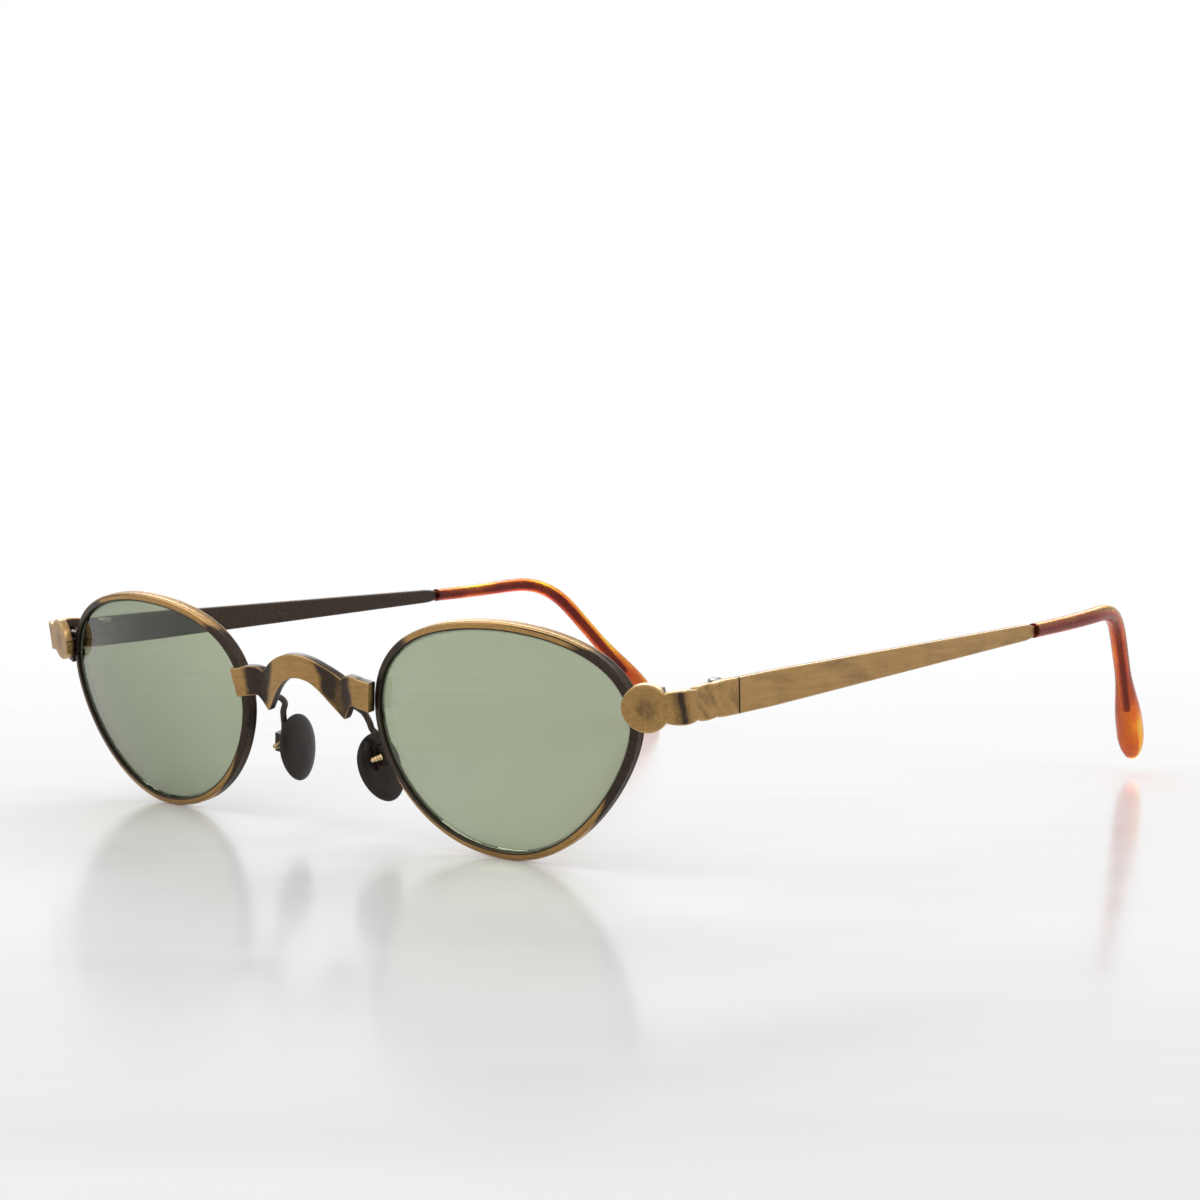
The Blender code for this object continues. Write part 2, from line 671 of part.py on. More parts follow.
def hinge_matrix(side):
    """The hinge's frame in the root frame: X outwards on the left, Y along the temple, Z the axis."""
    point, _, _ = strip_frame(strip_length(), side)
    joint = Matrix.Rotation(PANTOSCOPIC_ANGLE, 3, "X") @ point
    joint.x *= side
    turn = Matrix.Rotation(side * TEMPLE_TWIST, 3, "X") @ Matrix.Rotation(-side * TEMPLE_SPLAY, 3, "Z")
    inward = Vector((side * (STRIP_THICKNESS + HINGE_INSET), HINGE_SETBACK, 0.0))
    return Matrix.Translation(joint - turn @ inward) @ turn.to_4x4()


def hinge_axes(side):
    return Vector((side, 0, 0)), Vector((0, 1, 0)), Vector((0, 0, 1))


def knuckle(low, high, reach, side):
    """A pierced barrel with an arm to its leaf, between two heights; reach is (x, y) of the arm's end."""
    count = 24
    bore = HINGE_SCREW_RADIUS + RUNNING_GAP
    arm_x, arm_y = reach
    outer = [Vector(point) for point in circle(BARREL_RADIUS, count)]
    arm_sign = 1 if arm_y > 0 else -1
    for index, point in enumerate(outer):
        if point.x >= KNUCKLE_ARM_START and point.y * arm_sign >= 0:
            share = math.sqrt(point.x / BARREL_RADIUS)
            outer[index] = Vector((KNUCKLE_ARM_START + (arm_x - KNUCKLE_ARM_START) * share, arm_y))
    rings = []
    across, along, up = hinge_axes(side)
    for radius_points, height in ((outer, low), (outer, high)):
        rings.append([across * p[0] + along * p[1] + up * height for p in radius_points])
    for height in (high, low):
        rings.append([across * p[0] + along * p[1] + up * height for p in circle(bore, count)])
    return loft(rings, closed=True)


def make_hinge(side, finishes, parents):
    """A three-knuckle hinge: two knuckles and a leaf on the end piece, one and a leaf on the temple."""
    name = side_name(side)
    axes = hinge_axes(side)
    third = (BARREL_HEIGHT - 2 * RUNNING_GAP) / 3
    middle = third / 2
    leaf_x = HINGE_INSET - SEAT_GAP
    for piece, sign, spans in (("front", -1, ((-BARREL_HEIGHT / 2, -middle - RUNNING_GAP),
                                              (middle + RUNNING_GAP, BARREL_HEIGHT / 2))),
                               ("temple", 1, ((-middle, middle),))):
        near = sign * math.hypot(BARREL_RADIUS + SWING_GAP, LEAF_CLEARANCE)
        far = near + sign * LEAF_LENGTH
        bounds = [(leaf_x - LEAF_THICKNESS, near), (leaf_x, near), (leaf_x, far),
                  (leaf_x - LEAF_THICKNESS, far)]
        finish, parent = finishes["dark"], parents[piece]
        leaf = solid(f"hinge_{piece}_{name}", prism(bounds, -LEAF_HEIGHT / 2, LEAF_HEIGHT / 2, axes),
                     finish, parent)
        for index, (low, high) in enumerate(spans):
            body = knuckle(low, high, (leaf_x, near + sign * KNUCKLE_OVERLAP), side)
            tool = solid(f"join_hinge_{piece}_{name}_{index}", body, finish, parent)
            boolean(leaf, tool, "UNION")
    shank = [(HINGE_SCREW_RADIUS, -BARREL_HEIGHT / 2)]
    make_screw(f"hinge_screw_{name}", Matrix.Identity(4), shank, BARREL_HEIGHT / 2 + RUNNING_GAP,
               HINGE_SCREW_HEAD, finishes["screw"], parents["front"])


# Temples and tips

def tip_frames(count, length):
    """Places, outward and up directions along the tip, from the blade's end, in the temple frame.

    The tip runs on and rises a little, then bends down behind the ear while it turns in to the head.
    """
    fine = 12
    point = Vector((0.0, 0.0, 0.0))
    frames = []
    steps = count * fine
    for index in range(steps + 1):
        distance = length * index / steps
        toe = TOE_IN_ANGLE * smooth((distance - TOE_IN_START) / TOE_IN_LENGTH)
        droop = TIP_DROOP_ANGLE * smooth((distance - TIP_DROOP_START) / (TIP_LENGTH - TIP_DROOP_START))
        rise = TIP_RISE_ANGLE * smooth(distance / EAR_BEND_START)
        dip = EAR_BEND_ANGLE * smooth((distance - EAR_BEND_START) / EAR_BEND_LENGTH) + droop - rise
        heading = Vector((-math.sin(toe) * math.cos(dip), math.cos(toe) * math.cos(dip), -math.sin(dip)))
        outward = Vector((math.cos(toe), math.sin(toe), 0.0))
        if index % fine == 0:
            frames.append((point.copy(), outward, outward.cross(heading), distance))
        point += heading * (length / steps)
    return frames


def oval(point, outward, up, width, height, count):
    """An oval ring of points."""
    return [point + outward * (a * width / 2) + up * (b * height / 2) for a, b in circle(1.0, count)]


def blade_ring(distance, height, thickness, inner_edge):
    """A slice of the blade: a flat outer face and a more rounded inner face."""
    outer = HINGE_INSET + STRIP_THICKNESS
    inner = outer - thickness
    half = height / 2
    edge = min(BLADE_EDGE, half / 2)
    soft = min(inner_edge, half / 2)
    section = [(outer, half - edge), (outer - edge, half), (inner + soft, half), (inner, half - soft),
               (inner, soft - half), (inner + soft, -half), (outer - edge, -half), (outer, edge - half)]
    return [Vector((x, distance, z)) for x, z in section]


def blade_profile():
    """(distance from the axis, height, thickness, inner edge) slices, from the joint to the neck."""
    start = HINGE_SETBACK + SWING_GAP
    end = HINGE_SETBACK + BLADE_LENGTH
    full = 2 * STRIP_HALF_HEIGHT
    taper_start = start + BLADE_PARALLEL
    neck = end - NECK_LENGTH
    slices = [(start, full, STRIP_THICKNESS, BLADE_EDGE)]
    slices.append((taper_start, full, STRIP_THICKNESS, BLADE_INNER_EDGE))
    for index in range(1, 5):
        share = index / 4
        slices.append((taper_start + (neck - taper_start) * share,
                       full + (BLADE_END_HEIGHT - full) * share, STRIP_THICKNESS, BLADE_INNER_EDGE))
    for index in range(1, 6):
        share = index / 5
        round_off = 1 - math.sqrt(1 - share * share)
        slices.append((neck + NECK_LENGTH * 0.9 * share,
                       BLADE_END_HEIGHT + (CORE_HEIGHT - BLADE_END_HEIGHT) * round_off,
                       STRIP_THICKNESS + (CORE_WIDTH - STRIP_THICKNESS) * round_off,
                       BLADE_INNER_EDGE))
    return slices


def tip_start():
    """Where the tip's middle line starts, in the temple frame."""
    return Vector((HINGE_INSET + STRIP_THICKNESS - CORE_WIDTH / 2, HINGE_SETBACK + BLADE_LENGTH, 0.0))


def make_temple(side, finish, parent):
    """The blade, its neck and the core wire that runs on inside the tip."""
    rings = []
    for distance, height, thickness, inner_edge in blade_profile():
        rings.append(blade_ring(distance, height, thickness, inner_edge))
    for point, outward, up, _ in tip_frames(CORE_STATIONS, CORE_LENGTH):
        rings.append(oval(point + tip_start(), outward, up, CORE_WIDTH, CORE_HEIGHT, 8))
    return solid(f"temple_{side_name(side)}", loft([to_side(ring, side) for ring in rings]), finish, parent)


def sleeve_size(distance):
    """The tip's width and height at a distance along it: slim, then a flattened paddle, rounded off."""
    swell = smooth(distance / (EAR_BEND_START + EAR_BEND_LENGTH))
    flare = smooth((distance - PADDLE_START) / (PADDLE_FULL - PADDLE_START))
    width = SLEEVE_WIDTH + (BEND_THICKNESS - SLEEVE_WIDTH) * swell + (PADDLE_WIDTH - BEND_THICKNESS) * flare
    height = SLEEVE_HEIGHT + (BEND_THICKNESS - SLEEVE_HEIGHT) * swell
    height += (PADDLE_HEIGHT - BEND_THICKNESS) * flare
    left = TIP_LENGTH - distance
    if left < PADDLE_ROUNDING:
        share = 1 - left / PADDLE_ROUNDING
        narrow = math.sqrt(max(1 - share * share, 0.02))
        width, height = width * narrow, height * narrow
    return width, height


def make_tip(side, finish, parent):
    """The plastic sleeve over the core wire, bored from its front end."""
    count = 12
    rings = []
    bore_end = CORE_LENGTH + CORE_END_GAP
    for point, outward, up, _ in reversed(tip_frames(CORE_STATIONS, bore_end)):
        rings.append(oval(point + tip_start(), outward, up, CORE_WIDTH + 2 * SEAT_GAP,
                          CORE_HEIGHT + 2 * SEAT_GAP, count))
    stations = tip_frames(SLEEVE_STATIONS, TIP_LENGTH)
    for point, outward, up, distance in stations[:-1] + tip_frames(4 * SLEEVE_STATIONS, TIP_LENGTH)[-2:]:
        width, height = sleeve_size(distance)
        rings.append(oval(point + tip_start(), outward, up, width, height, count))
    return solid(f"temple_tip_{side_name(side)}", loft([to_side(ring, side) for ring in rings]), finish,
                 parent)


# Nose pads

def pad_matrix(side):
    """The pad screw's frame in the front frame: X away from the nose, Y back, Z up the pad."""
    turn = Matrix.Rotation(-PAD_LEAN, 4, "Y") @ Matrix.Rotation(-PAD_SPLAY, 4, "Z")
    placed = Matrix.Translation((PAD_SCREW_X, PAD_SCREW_Y, PAD_SCREW_Z)) @ turn
    flip = Matrix.Diagonal((side, 1, 1, 1))
    return flip @ placed @ flip


def box_outline():
    """The pad box seen from above: a channel that opens towards the pad."""
    slot = STUD_THICKNESS / 2 + RUNNING_GAP
    wall = slot + BOX_CHEEK
    mouth = -BOX_MOUTH
    floor = STUD_REACH + BOX_FLOOR_GAP
    back = floor + BOX_CHEEK
    return [(mouth, -wall), (back, -wall), (back, wall), (mouth, wall), (mouth, slot), (floor, slot),
            (floor, -slot), (mouth, -slot)]


def make_pad(side, finishes, fixed, rocking):
    """The pad, its mount with a pierced stud, the box that holds the stud, and the box's screw."""
    name = side_name(side)
    axes = hinge_axes(side)
    wall = STUD_THICKNESS / 2 + RUNNING_GAP + BOX_CHEEK
    reach = 2 * wall
    across = Matrix.Rotation(-math.pi / 2, 4, "X")

    box = solid(f"pad_box_{name}", prism(box_outline(), -BOX_HEIGHT / 2, BOX_HEIGHT / 2, axes),
                finishes["dark"], fixed)
    bore_radius = PAD_SCREW_RADIUS + RUNNING_GAP
    bore = turned([(bore_radius, -reach), (bore_radius, reach)], across, 16)
    boolean(box, solid(f"cut_pad_box_{name}", bore, finishes["dark"], fixed), "DIFFERENCE")
    make_screw(f"pad_screw_{name}", across, thread_tip(-wall) + [(PAD_SCREW_RADIUS, -wall)], wall + SEAT_GAP,
               PAD_SCREW_HEAD, finishes["screw"], fixed)

    pad_x = -STUD_REACH - MOUNT_THICKNESS - PAD_FLAT - MOUNT_CLEARANCE
    plate_low = pad_x + PAD_FLAT + SEAT_GAP
    plate = prism([(plate_low, -MOUNT_WIDTH / 2), (plate_low + MOUNT_THICKNESS, -MOUNT_WIDTH / 2),
                   (plate_low + MOUNT_THICKNESS, MOUNT_WIDTH / 2), (plate_low, MOUNT_WIDTH / 2)],
                  -MOUNT_HEIGHT / 2, MOUNT_HEIGHT / 2, axes)
    mount = solid(f"pad_mount_{name}", plate, finishes["dark"], rocking)
    stud = prism([(plate_low, -STUD_THICKNESS / 2), (STUD_REACH, -STUD_THICKNESS / 2),
                  (STUD_REACH, STUD_THICKNESS / 2), (plate_low, STUD_THICKNESS / 2)],
                 -STUD_HEIGHT / 2, STUD_HEIGHT / 2, axes)
    boolean(mount, solid(f"join_pad_mount_{name}", stud, finishes["dark"], rocking), "UNION")
    bore = turned([(bore_radius, -reach), (bore_radius, reach)], across, 16)
    boolean(mount, solid(f"cut_pad_mount_{name}", bore, finishes["dark"], rocking), "DIFFERENCE")

    pad = bmesh.new()
    bmesh.ops.create_uvsphere(pad, u_segments=16, v_segments=12, radius=1.0)
    tilt = Matrix.Rotation(PAD_TILT, 3, "X")
    middle = Vector((pad_x, PAD_OFFSET_BACK, -PAD_OFFSET_DOWN - side * PAD_SKEW))
    for vertex in pad.verts:
        x, y, z = vertex.co
        shape = Vector((min(x * PAD_THICKNESS / 2, PAD_FLAT), y * (1 + PAD_TAPER * z) * PAD_WIDTH / 2,
                        z * PAD_LENGTH / 2))
        placed = middle + tilt @ shape
        vertex.co = (side * placed.x, placed.y, placed.z)
    solid(f"nose_pad_{name}", pad, finishes["pad"], rocking)


def thread_tip(low):
    """The (radius, height) profile of the pad screw's threaded end, from its point up to a height."""
    profile = [(PAD_SCREW_RADIUS - PAD_SCREW_THREAD_HEIGHT, low - PAD_SCREW_THREADS * PAD_SCREW_PITCH)]
    for thread in reversed(range(PAD_SCREW_THREADS)):
        root = low - thread * PAD_SCREW_PITCH
        taper = thread * PAD_SCREW_THREAD_HEIGHT / PAD_SCREW_THREADS
        profile.append((PAD_SCREW_RADIUS + PAD_SCREW_THREAD_HEIGHT - taper, root - PAD_SCREW_PITCH / 2))
        if thread:
            profile.append((PAD_SCREW_RADIUS - taper, root))
    return profile


def arm_path():
    """The left pad arm's middle line: out of the bridge's back, round and down to the pad box."""
    root_x, root_z = ARM_ROOT
    root = Vector((root_x, bridge_face(root_x) + BRIDGE_THICKNESS + SEAT_GAP, root_z))
    seat = pad_matrix(LEFT) @ Vector((ARM_SEAT, 0.0, BOX_HEIGHT / 2 + SEAT_GAP))
    above = pad_matrix(LEFT) @ Vector((ARM_SEAT, 0.0, BOX_HEIGHT / 2 + SEAT_GAP + ARM_FOOT))
    return [root] + [root + Vector(step) for step in ARM_RUN] + [above, seat]


def smooth_path(points, steps):
    """A smooth curve through points."""
    ends = [points[0] * 2 - points[1]] + points + [points[-1] * 2 - points[-2]]
    path = []
    for index in range(len(points) - 1):
        before, start, end, after = ends[index:index + 4]
        for step in range(steps):
            t = step / steps
            path.append(0.5 * (2 * start + (end - before) * t
                               + (2 * before - 5 * start + 4 * end - after) * t ** 2
                               + (3 * start - before - 3 * end + after) * t ** 3))
    return path + [points[-1]]


def make_arm(side, finish, parent):
    path = smooth_path(arm_path(), 3)
    rings = []
    across = Vector((1.0, 0.0, 0.0))
    for index, point in enumerate(path):
        along = (path[min(index + 1, len(path) - 1)] - path[max(index - 1, 0)]).normalized()
        across = (across - along * across.dot(along)).normalized()
        rings.append(to_side(oval(point, across, along.cross(across), 2 * ARM_RADIUS, 2 * ARM_RADIUS, 8),
                             side))
    return solid(f"pad_arm_{side_name(side)}", loft(rings), finish, parent)


def make_finishes():
    return {
        "brass": material("burnished_brass", (0.43, 0.27, 0.13), 0.38, 1.0),
        "dark": material("dark_patina", (0.055, 0.043, 0.034), 0.42, 0.8),
        "screw": material("screw_brass", (0.62, 0.42, 0.2), 0.3, 1.0),
        "lens": material("green_lens", (0.28, 0.36, 0.24), 0.05, 0.0, 0.6),
        "tip": material("amber_tip", (0.55, 0.09, 0.015), 0.2),
        "pad": material("brown_pad", (0.04, 0.026, 0.02), 0.4),
    }


def lowest(objects, graph):
    """The lowest vertex of some objects, in world coordinates."""
    corners = []
    for item in objects:
        seen = item.evaluated_get(graph)
        corners.extend(seen.matrix_world @ vertex.co for vertex in seen.data.vertices)
    return min(corners, key=lambda point: point.z)


def stand_on_table(root, fronts, backs, everything):
    """Turns and moves the root so that rims and tips stand on Z = 0, centred on the origin."""
    for _ in range(4):
        bpy.context.view_layer.update()
        graph = bpy.context.evaluated_depsgraph_get()
        ahead, behind = lowest(fronts, graph), lowest(backs, graph)
        root.rotation_euler.x -= math.atan2(behind.z - ahead.z, behind.y - ahead.y)
    bpy.context.view_layer.update()
    graph = bpy.context.evaluated_depsgraph_get()
    points = []
    for item in everything:
        seen = item.evaluated_get(graph)
        points.extend(seen.matrix_world @ vertex.co for vertex in seen.data.vertices)
    root.location.x -= (min(p.x for p in points) + max(p.x for p in points)) / 2
    root.location.y -= (min(p.y for p in points) + max(p.y for p in points)) / 2
    root.location.z -= min(p.z for p in points)
    bpy.context.view_layer.update()


def build():
    for item in list(bpy.data.objects):
        bpy.data.objects.remove(item, do_unlink=True)
    finishes = make_finishes()
    root = empty("sunglasses")
    front = empty("front_frame", root, Matrix.Rotation(PANTOSCOPIC_ANGLE, 4, "X"))
    make_bridge(finishes["brass"], front)
    rims, tips = [], []
    for side in (LEFT, RIGHT):
        name = side_name(side)
        rims.append(make_rim(side, finishes["brass"], front))
        make_lens(side, finishes["lens"], front)
        make_end_piece(side, finishes["brass"], front)
        make_lock(side, finishes, front)
        make_arm(side, finishes["dark"], front)
        pad_fixed = empty(f"pad_box_frame_{name}", front, pad_matrix(side))
        rest = RIGHT_PAD_ROCK if side == RIGHT else 0.0
        pad_rocking = empty(f"pad_rock_axis_{name}", pad_fixed, Matrix.Rotation(-rest, 4, "Y"))
        make_pad(side, finishes, pad_fixed, pad_rocking)
        hinge_fixed = empty(f"hinge_frame_{name}", root, hinge_matrix(side))
        folded = RIGHT_TEMPLE_FOLD if side == RIGHT else 0.0
        fold = empty(f"temple_fold_axis_{name}", hinge_fixed, Matrix.Rotation(side * folded, 4, "Z"))
        make_hinge(side, finishes, {"front": hinge_fixed, "temple": fold})
        make_temple(side, finishes["brass"], fold)
        tips.append(make_tip(side, finishes["tip"], fold))
    shown = [item for item in bpy.data.objects if item.type == "MESH" and not item.hide_render]
    stand_on_table(root, rims, tips, shown)


build()
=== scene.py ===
"""The looks of a pair of antique brass sunglasses with grey-green lenses and amber temple tips.

Everything is in metres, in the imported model's frame: +Z is up, the lenses face -Y and +X is the wearer's
left. The pieces that show most are built again here, finer than the solids that they stand for, and the
small hardware keeps its solids. The front frame has its origin midway between the lens centres, on the
rims' front, and each temple frame has its origin on its hinge's axis.
"""
import json
import math

import bmesh
import bpy
from mathutils import Matrix, Vector, noise
from mathutils.geometry import interpolate_bezier

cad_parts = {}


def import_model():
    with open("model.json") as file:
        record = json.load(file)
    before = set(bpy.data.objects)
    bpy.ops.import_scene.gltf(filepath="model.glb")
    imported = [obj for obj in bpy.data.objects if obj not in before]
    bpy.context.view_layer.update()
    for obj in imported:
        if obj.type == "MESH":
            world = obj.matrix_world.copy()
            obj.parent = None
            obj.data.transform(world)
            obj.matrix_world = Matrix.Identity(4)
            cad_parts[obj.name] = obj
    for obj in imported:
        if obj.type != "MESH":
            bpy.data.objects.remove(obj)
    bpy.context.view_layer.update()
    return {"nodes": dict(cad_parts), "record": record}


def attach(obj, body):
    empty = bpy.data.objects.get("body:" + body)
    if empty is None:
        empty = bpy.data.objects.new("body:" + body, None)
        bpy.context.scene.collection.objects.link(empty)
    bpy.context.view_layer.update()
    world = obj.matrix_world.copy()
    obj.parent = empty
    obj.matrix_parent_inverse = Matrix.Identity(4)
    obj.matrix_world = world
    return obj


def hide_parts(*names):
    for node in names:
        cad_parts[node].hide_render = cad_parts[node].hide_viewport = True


MM = 0.001
LEFT, RIGHT = 1, -1
SIDES = (LEFT, RIGHT)

# Sizes shared with the solids
SEAT_GAP = 0.12 * MM
SWING_GAP = 0.15 * MM
LENS_SPACING = 67.4 * MM
LENS_NASAL = 19.8 * MM
LENS_TEMPORAL = 20.8 * MM
LENS_TOP = 14.5 * MM
LENS_BOTTOM = 15.7 * MM
LENS_TOP_AT = 0.9 * MM
LENS_BOTTOM_AT = 0.4 * MM
LENS_NASAL_AT = 1.3 * MM
LENS_TEMPORAL_AT = 2.8 * MM
QUARTER_FULLNESS = ((0.36, 0.80), (0.30, 0.56), (0.69, 0.38), (0.80, 0.44))
LENS_RADIUS = 73.0 * MM
LENS_THICKNESS = 1.4 * MM
LENS_SET_BACK = 0.55 * MM
LENS_EDGE_GAP = 0.10 * MM
LENS_BEVEL = 0.35 * MM
WRAP_ANGLE = math.radians(4.2)
BEVEL_SLOPE = 0.75
RIM_FACE = 1.1 * MM
RIM_DEPTH = 1.85 * MM
RIM_SHOULDER = 0.28 * MM
RIM_BACK_ROUND = 0.5 * MM
GROOVE_DEPTH = 0.55 * MM
RIM_SPLIT = 0.3 * MM
LOCK_HEIGHT = 4.35 * MM
PANTOSCOPIC_ANGLE = math.radians(7.715)
TEMPLE_TWIST = math.radians(0.565)
END_PIECE_SKEW = 0.62 * MM
STRIP_DROP_SKEW = 0.32 * MM
RIGHT_TEMPLE_FOLD = math.radians(1.3)
RIGHT_PAD_ROCK = math.radians(9.0)
PAD_SKEW = 0.45 * MM
BRIDGE_THICKNESS = 1.25 * MM
ARCH_TOP = 9.3 * MM
ARCH_UNDER = 5.9 * MM
NOTCH_X = 7.8 * MM
NOTCH_TOP = 6.15 * MM
POINT_X = 7.45 * MM
POINT_BOTTOM = 0.45 * MM
TAB_X = 11.7 * MM
TAB_TOP = 6.5 * MM
TAB_BOTTOM = 2.3 * MM
BUMP_TOP = 6.95 * MM
BRIDGE_VALLEY = 0.65 * MM
BRIDGE_VALLEY_WIDTH = 2.1 * MM
BRIDGE_CROWN = 0.4 * MM
BRIDGE_CROWN_WIDTH = 4.0 * MM
TAB_END_DROP = 0.3 * MM
TAB_END_SLANT = 0.8 * MM
HOLLOW_RISE = 0.15 * MM
ARCH_TOP_HANDLES = (0.41, 0.72)
ARCH_UNDER_HANDLES = (0.46, 0.66)
ARCH_FALL_HANDLE = 0.5
BUMP_HANDLES = (0.2, 0.7)
HOLLOW_AT = 0.38
HOLLOW_HANDLE = 0.3
DISC_RADIUS = 3.15 * MM
DISC_REACH = 23.7 * MM
DISC_Z = 5.92 * MM
DISC_STANDOFF = 0.6 * MM
STRIP_THICKNESS = 1.15 * MM
DISC_TURN = math.radians(20.0)
CORNER_START = 4.0 * MM
CORNER_RADIUS = 2.0 * MM
STRIP_STRAIGHT = 9.4 * MM
STRIP_DROP = 0.75 * MM
STRIP_HALF_HEIGHT = 2.34 * MM
SCALLOPS = ((2.5 * MM, 1.78 * MM, 2.2 * MM), (7.3 * MM, 1.78 * MM, 2.32 * MM),
            (11.3 * MM, 2.08 * MM, STRIP_HALF_HEIGHT))
HINGE_INSET = 1.5 * MM
HINGE_SETBACK = 1.4 * MM
TEMPLE_SPLAY = math.radians(0.7)
BLADE_LENGTH = 76.9 * MM
BLADE_PARALLEL = 8.0 * MM
BLADE_END_HEIGHT = 2.45 * MM
BLADE_INNER_EDGE = 0.45 * MM
NECK_LENGTH = 4.0 * MM
CORE_HEIGHT = 1.2 * MM
CORE_WIDTH = 0.9 * MM
CORE_LENGTH = 55.0 * MM
CORE_END_GAP = 0.4 * MM
TIP_LENGTH = 68.15 * MM
EAR_BEND_START = 20.0 * MM
EAR_BEND_LENGTH = 19.0 * MM
EAR_BEND_ANGLE = math.radians(48.7)
TIP_RISE_ANGLE = math.radians(1.7)
TIP_DROOP_START = 56.0 * MM
TIP_DROOP_ANGLE = math.radians(14.0)
TOE_IN_START = 13.5 * MM
TOE_IN_LENGTH = 24.0 * MM
TOE_IN_ANGLE = math.radians(19.5)
SLEEVE_HEIGHT = 2.25 * MM
SLEEVE_WIDTH = 2.1 * MM
BEND_THICKNESS = 2.65 * MM
PADDLE_HEIGHT = 4.6 * MM
PADDLE_WIDTH = 4.6 * MM
PADDLE_START = 45.0 * MM
PADDLE_FULL = 60.0 * MM
PADDLE_ROUNDING = 6.0 * MM
PAD_LEAN = math.radians(11.0)
PAD_SPLAY = math.radians(8.0)
PAD_TILT = math.radians(7.0)
PAD_LENGTH = 10.0 * MM
PAD_WIDTH = 7.7 * MM
PAD_TAPER = 0.1
PAD_THICKNESS = 2.0 * MM
PAD_OFFSET_BACK = 0.15 * MM
PAD_OFFSET_DOWN = 1.2 * MM
PAD_FLAT = 0.75 * MM
MOUNT_CLEARANCE = 0.25 * MM
MOUNT_THICKNESS = 0.5 * MM
STUD_REACH = 0.55 * MM
BOX_HEIGHT = 2.8 * MM
ARM_RADIUS = 0.45 * MM
ARM_ROOT = (7.2 * MM, 1.95 * MM)
ARM_RUN = ((0.2 * MM, 1.05 * MM, -0.25 * MM), (0.65 * MM, 2.2 * MM, -1.4 * MM),
           (1.35 * MM, 2.35 * MM, -2.7 * MM), (1.7 * MM, 2.55 * MM, -4.0 * MM))
ARM_FOOT = 1.0 * MM
ARM_SEAT = 0.3 * MM
PAD_SCREW = Vector((10.1 * MM, 5.3 * MM, -5.7 * MM))

# How finely the visible pieces are built
RIM_STATIONS = 220
LENS_STATIONS = 160
TIP_ROUND = 28
TIP_FRAMES = 680
CORE_STATIONS = 60
ARM_ROUND = 20
PLATE_EDGE = 0.16 * MM

# Camera, measured from the front frame's origin
CAMERA_OFFSET = Vector((225.99 * MM, -216.22 * MM, 36.56 * MM))
CAMERA_AZIMUTH = math.radians(38.77)
CAMERA_ELEVATION = math.radians(3.62)
CAMERA_ROLL = math.radians(1.07)
CAMERA_LENS = 67.5
CAMERA_SHIFT_DOWN = 2.37 / 1200

# Lamps: place in metres, size in metres and power in watts; all of them aim at one point over the table
LAMPS = {"key_light": ((-0.5, -0.7, 0.9), (0.9, 0.9), 3.1),
         "fill_light": ((0.9, -0.2, 0.7), (0.7, 0.7), 1.6),
         "back_light": ((-0.55, 0.75, 0.62), (1.0, 0.3), 5.5)}
LAMP_TARGET = Vector((0.0, 0.0, 0.01))
SOFT_SKY = 0.56
WHITE_SKY = 1.0


def smooth(value):
    """Runs from 0 to 1 with level ends."""
    value = min(1.0, max(0.0, value))
    return value * value * (3.0 - 2.0 * value)


def between(value, low, high, soft):
    """1 between two limits and 0 outside, with soft ends."""
    return smooth((value - low) / soft + 0.5) * smooth((high - value) / soft + 0.5)


def along_steps(value, steps):
    """A value read from (place, value) steps, on straight lines between them and level beyond them."""
    if value <= steps[0][0]:
        return steps[0][1]
    for (start, low), (end, high) in zip(steps, steps[1:]):
        if value <= end:
            return low + (high - low) * (value - start) / (end - start)
    return steps[-1][1]


def side_name(side):
    return "left" if side == LEFT else "right"


def mirror(side):
    return Matrix.Diagonal((side, 1, 1, 1))


# Frames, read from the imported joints

def joint(frame, name):
    return next(item for item in frame["record"]["behaviour"]["joints"] if item["name"] == name)


def pad_turn():
    return Matrix.Rotation(-PAD_LEAN, 4, "Y") @ Matrix.Rotation(-PAD_SPLAY, 4, "Z")


def front_matrix(frame):
    """The front frame, from the left pad's joint: its lean from the axis, its place from the point."""
    found = joint(frame, "pad_rock_left")
    local = pad_turn() @ Vector((0, 1, 0))
    axis = Vector(found["axis"])
    lean = math.atan2(axis.z, axis.y) - math.atan2(local.z, local.y)
    turn = Matrix.Rotation(lean, 4, "X")
    return Matrix.Translation(Vector(found["pos_m"]) - turn @ PAD_SCREW) @ turn


def temple_matrix(frame, side):
    """The temple frame: X away from the head on the left, Y along the temple, Z along the hinge's axis."""
    found = joint(frame, f"temple_fold_{side_name(side)}")
    up = Vector(found["axis"]) * side
    splay = side * TEMPLE_SPLAY + (RIGHT_TEMPLE_FOLD if side == RIGHT else 0.0)
    across = Vector((math.cos(splay), -math.sin(splay), 0.0))
    across = (across - up * across.dot(up)).normalized()
    turn = Matrix((across, up.cross(across), up)).transposed().to_4x4()
    return Matrix.Translation(Vector(found["pos_m"])) @ turn


# Mesh helpers

def finish_piece(name, mesh_data, place, body, nodes, look, sharp=35.0):
    """One visible piece: its mesh in world metres, on its body, standing for its solids."""
    bmesh.ops.transform(mesh_data, matrix=place, verts=mesh_data.verts)
    bmesh.ops.recalc_face_normals(mesh_data, faces=mesh_data.faces)
    if mesh_data.calc_volume(signed=True) < 0:
        bmesh.ops.reverse_faces(mesh_data, faces=mesh_data.faces)
    mesh = bpy.data.meshes.new(name)
    mesh_data.to_mesh(mesh)
    mesh_data.free()
    mesh.shade_smooth()
    mesh.set_sharp_from_angle(angle=math.radians(sharp))
    mesh.materials.append(look)
    piece = bpy.data.objects.new(name, mesh)
    bpy.context.collection.objects.link(piece)
    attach(piece, body)
    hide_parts(*nodes)


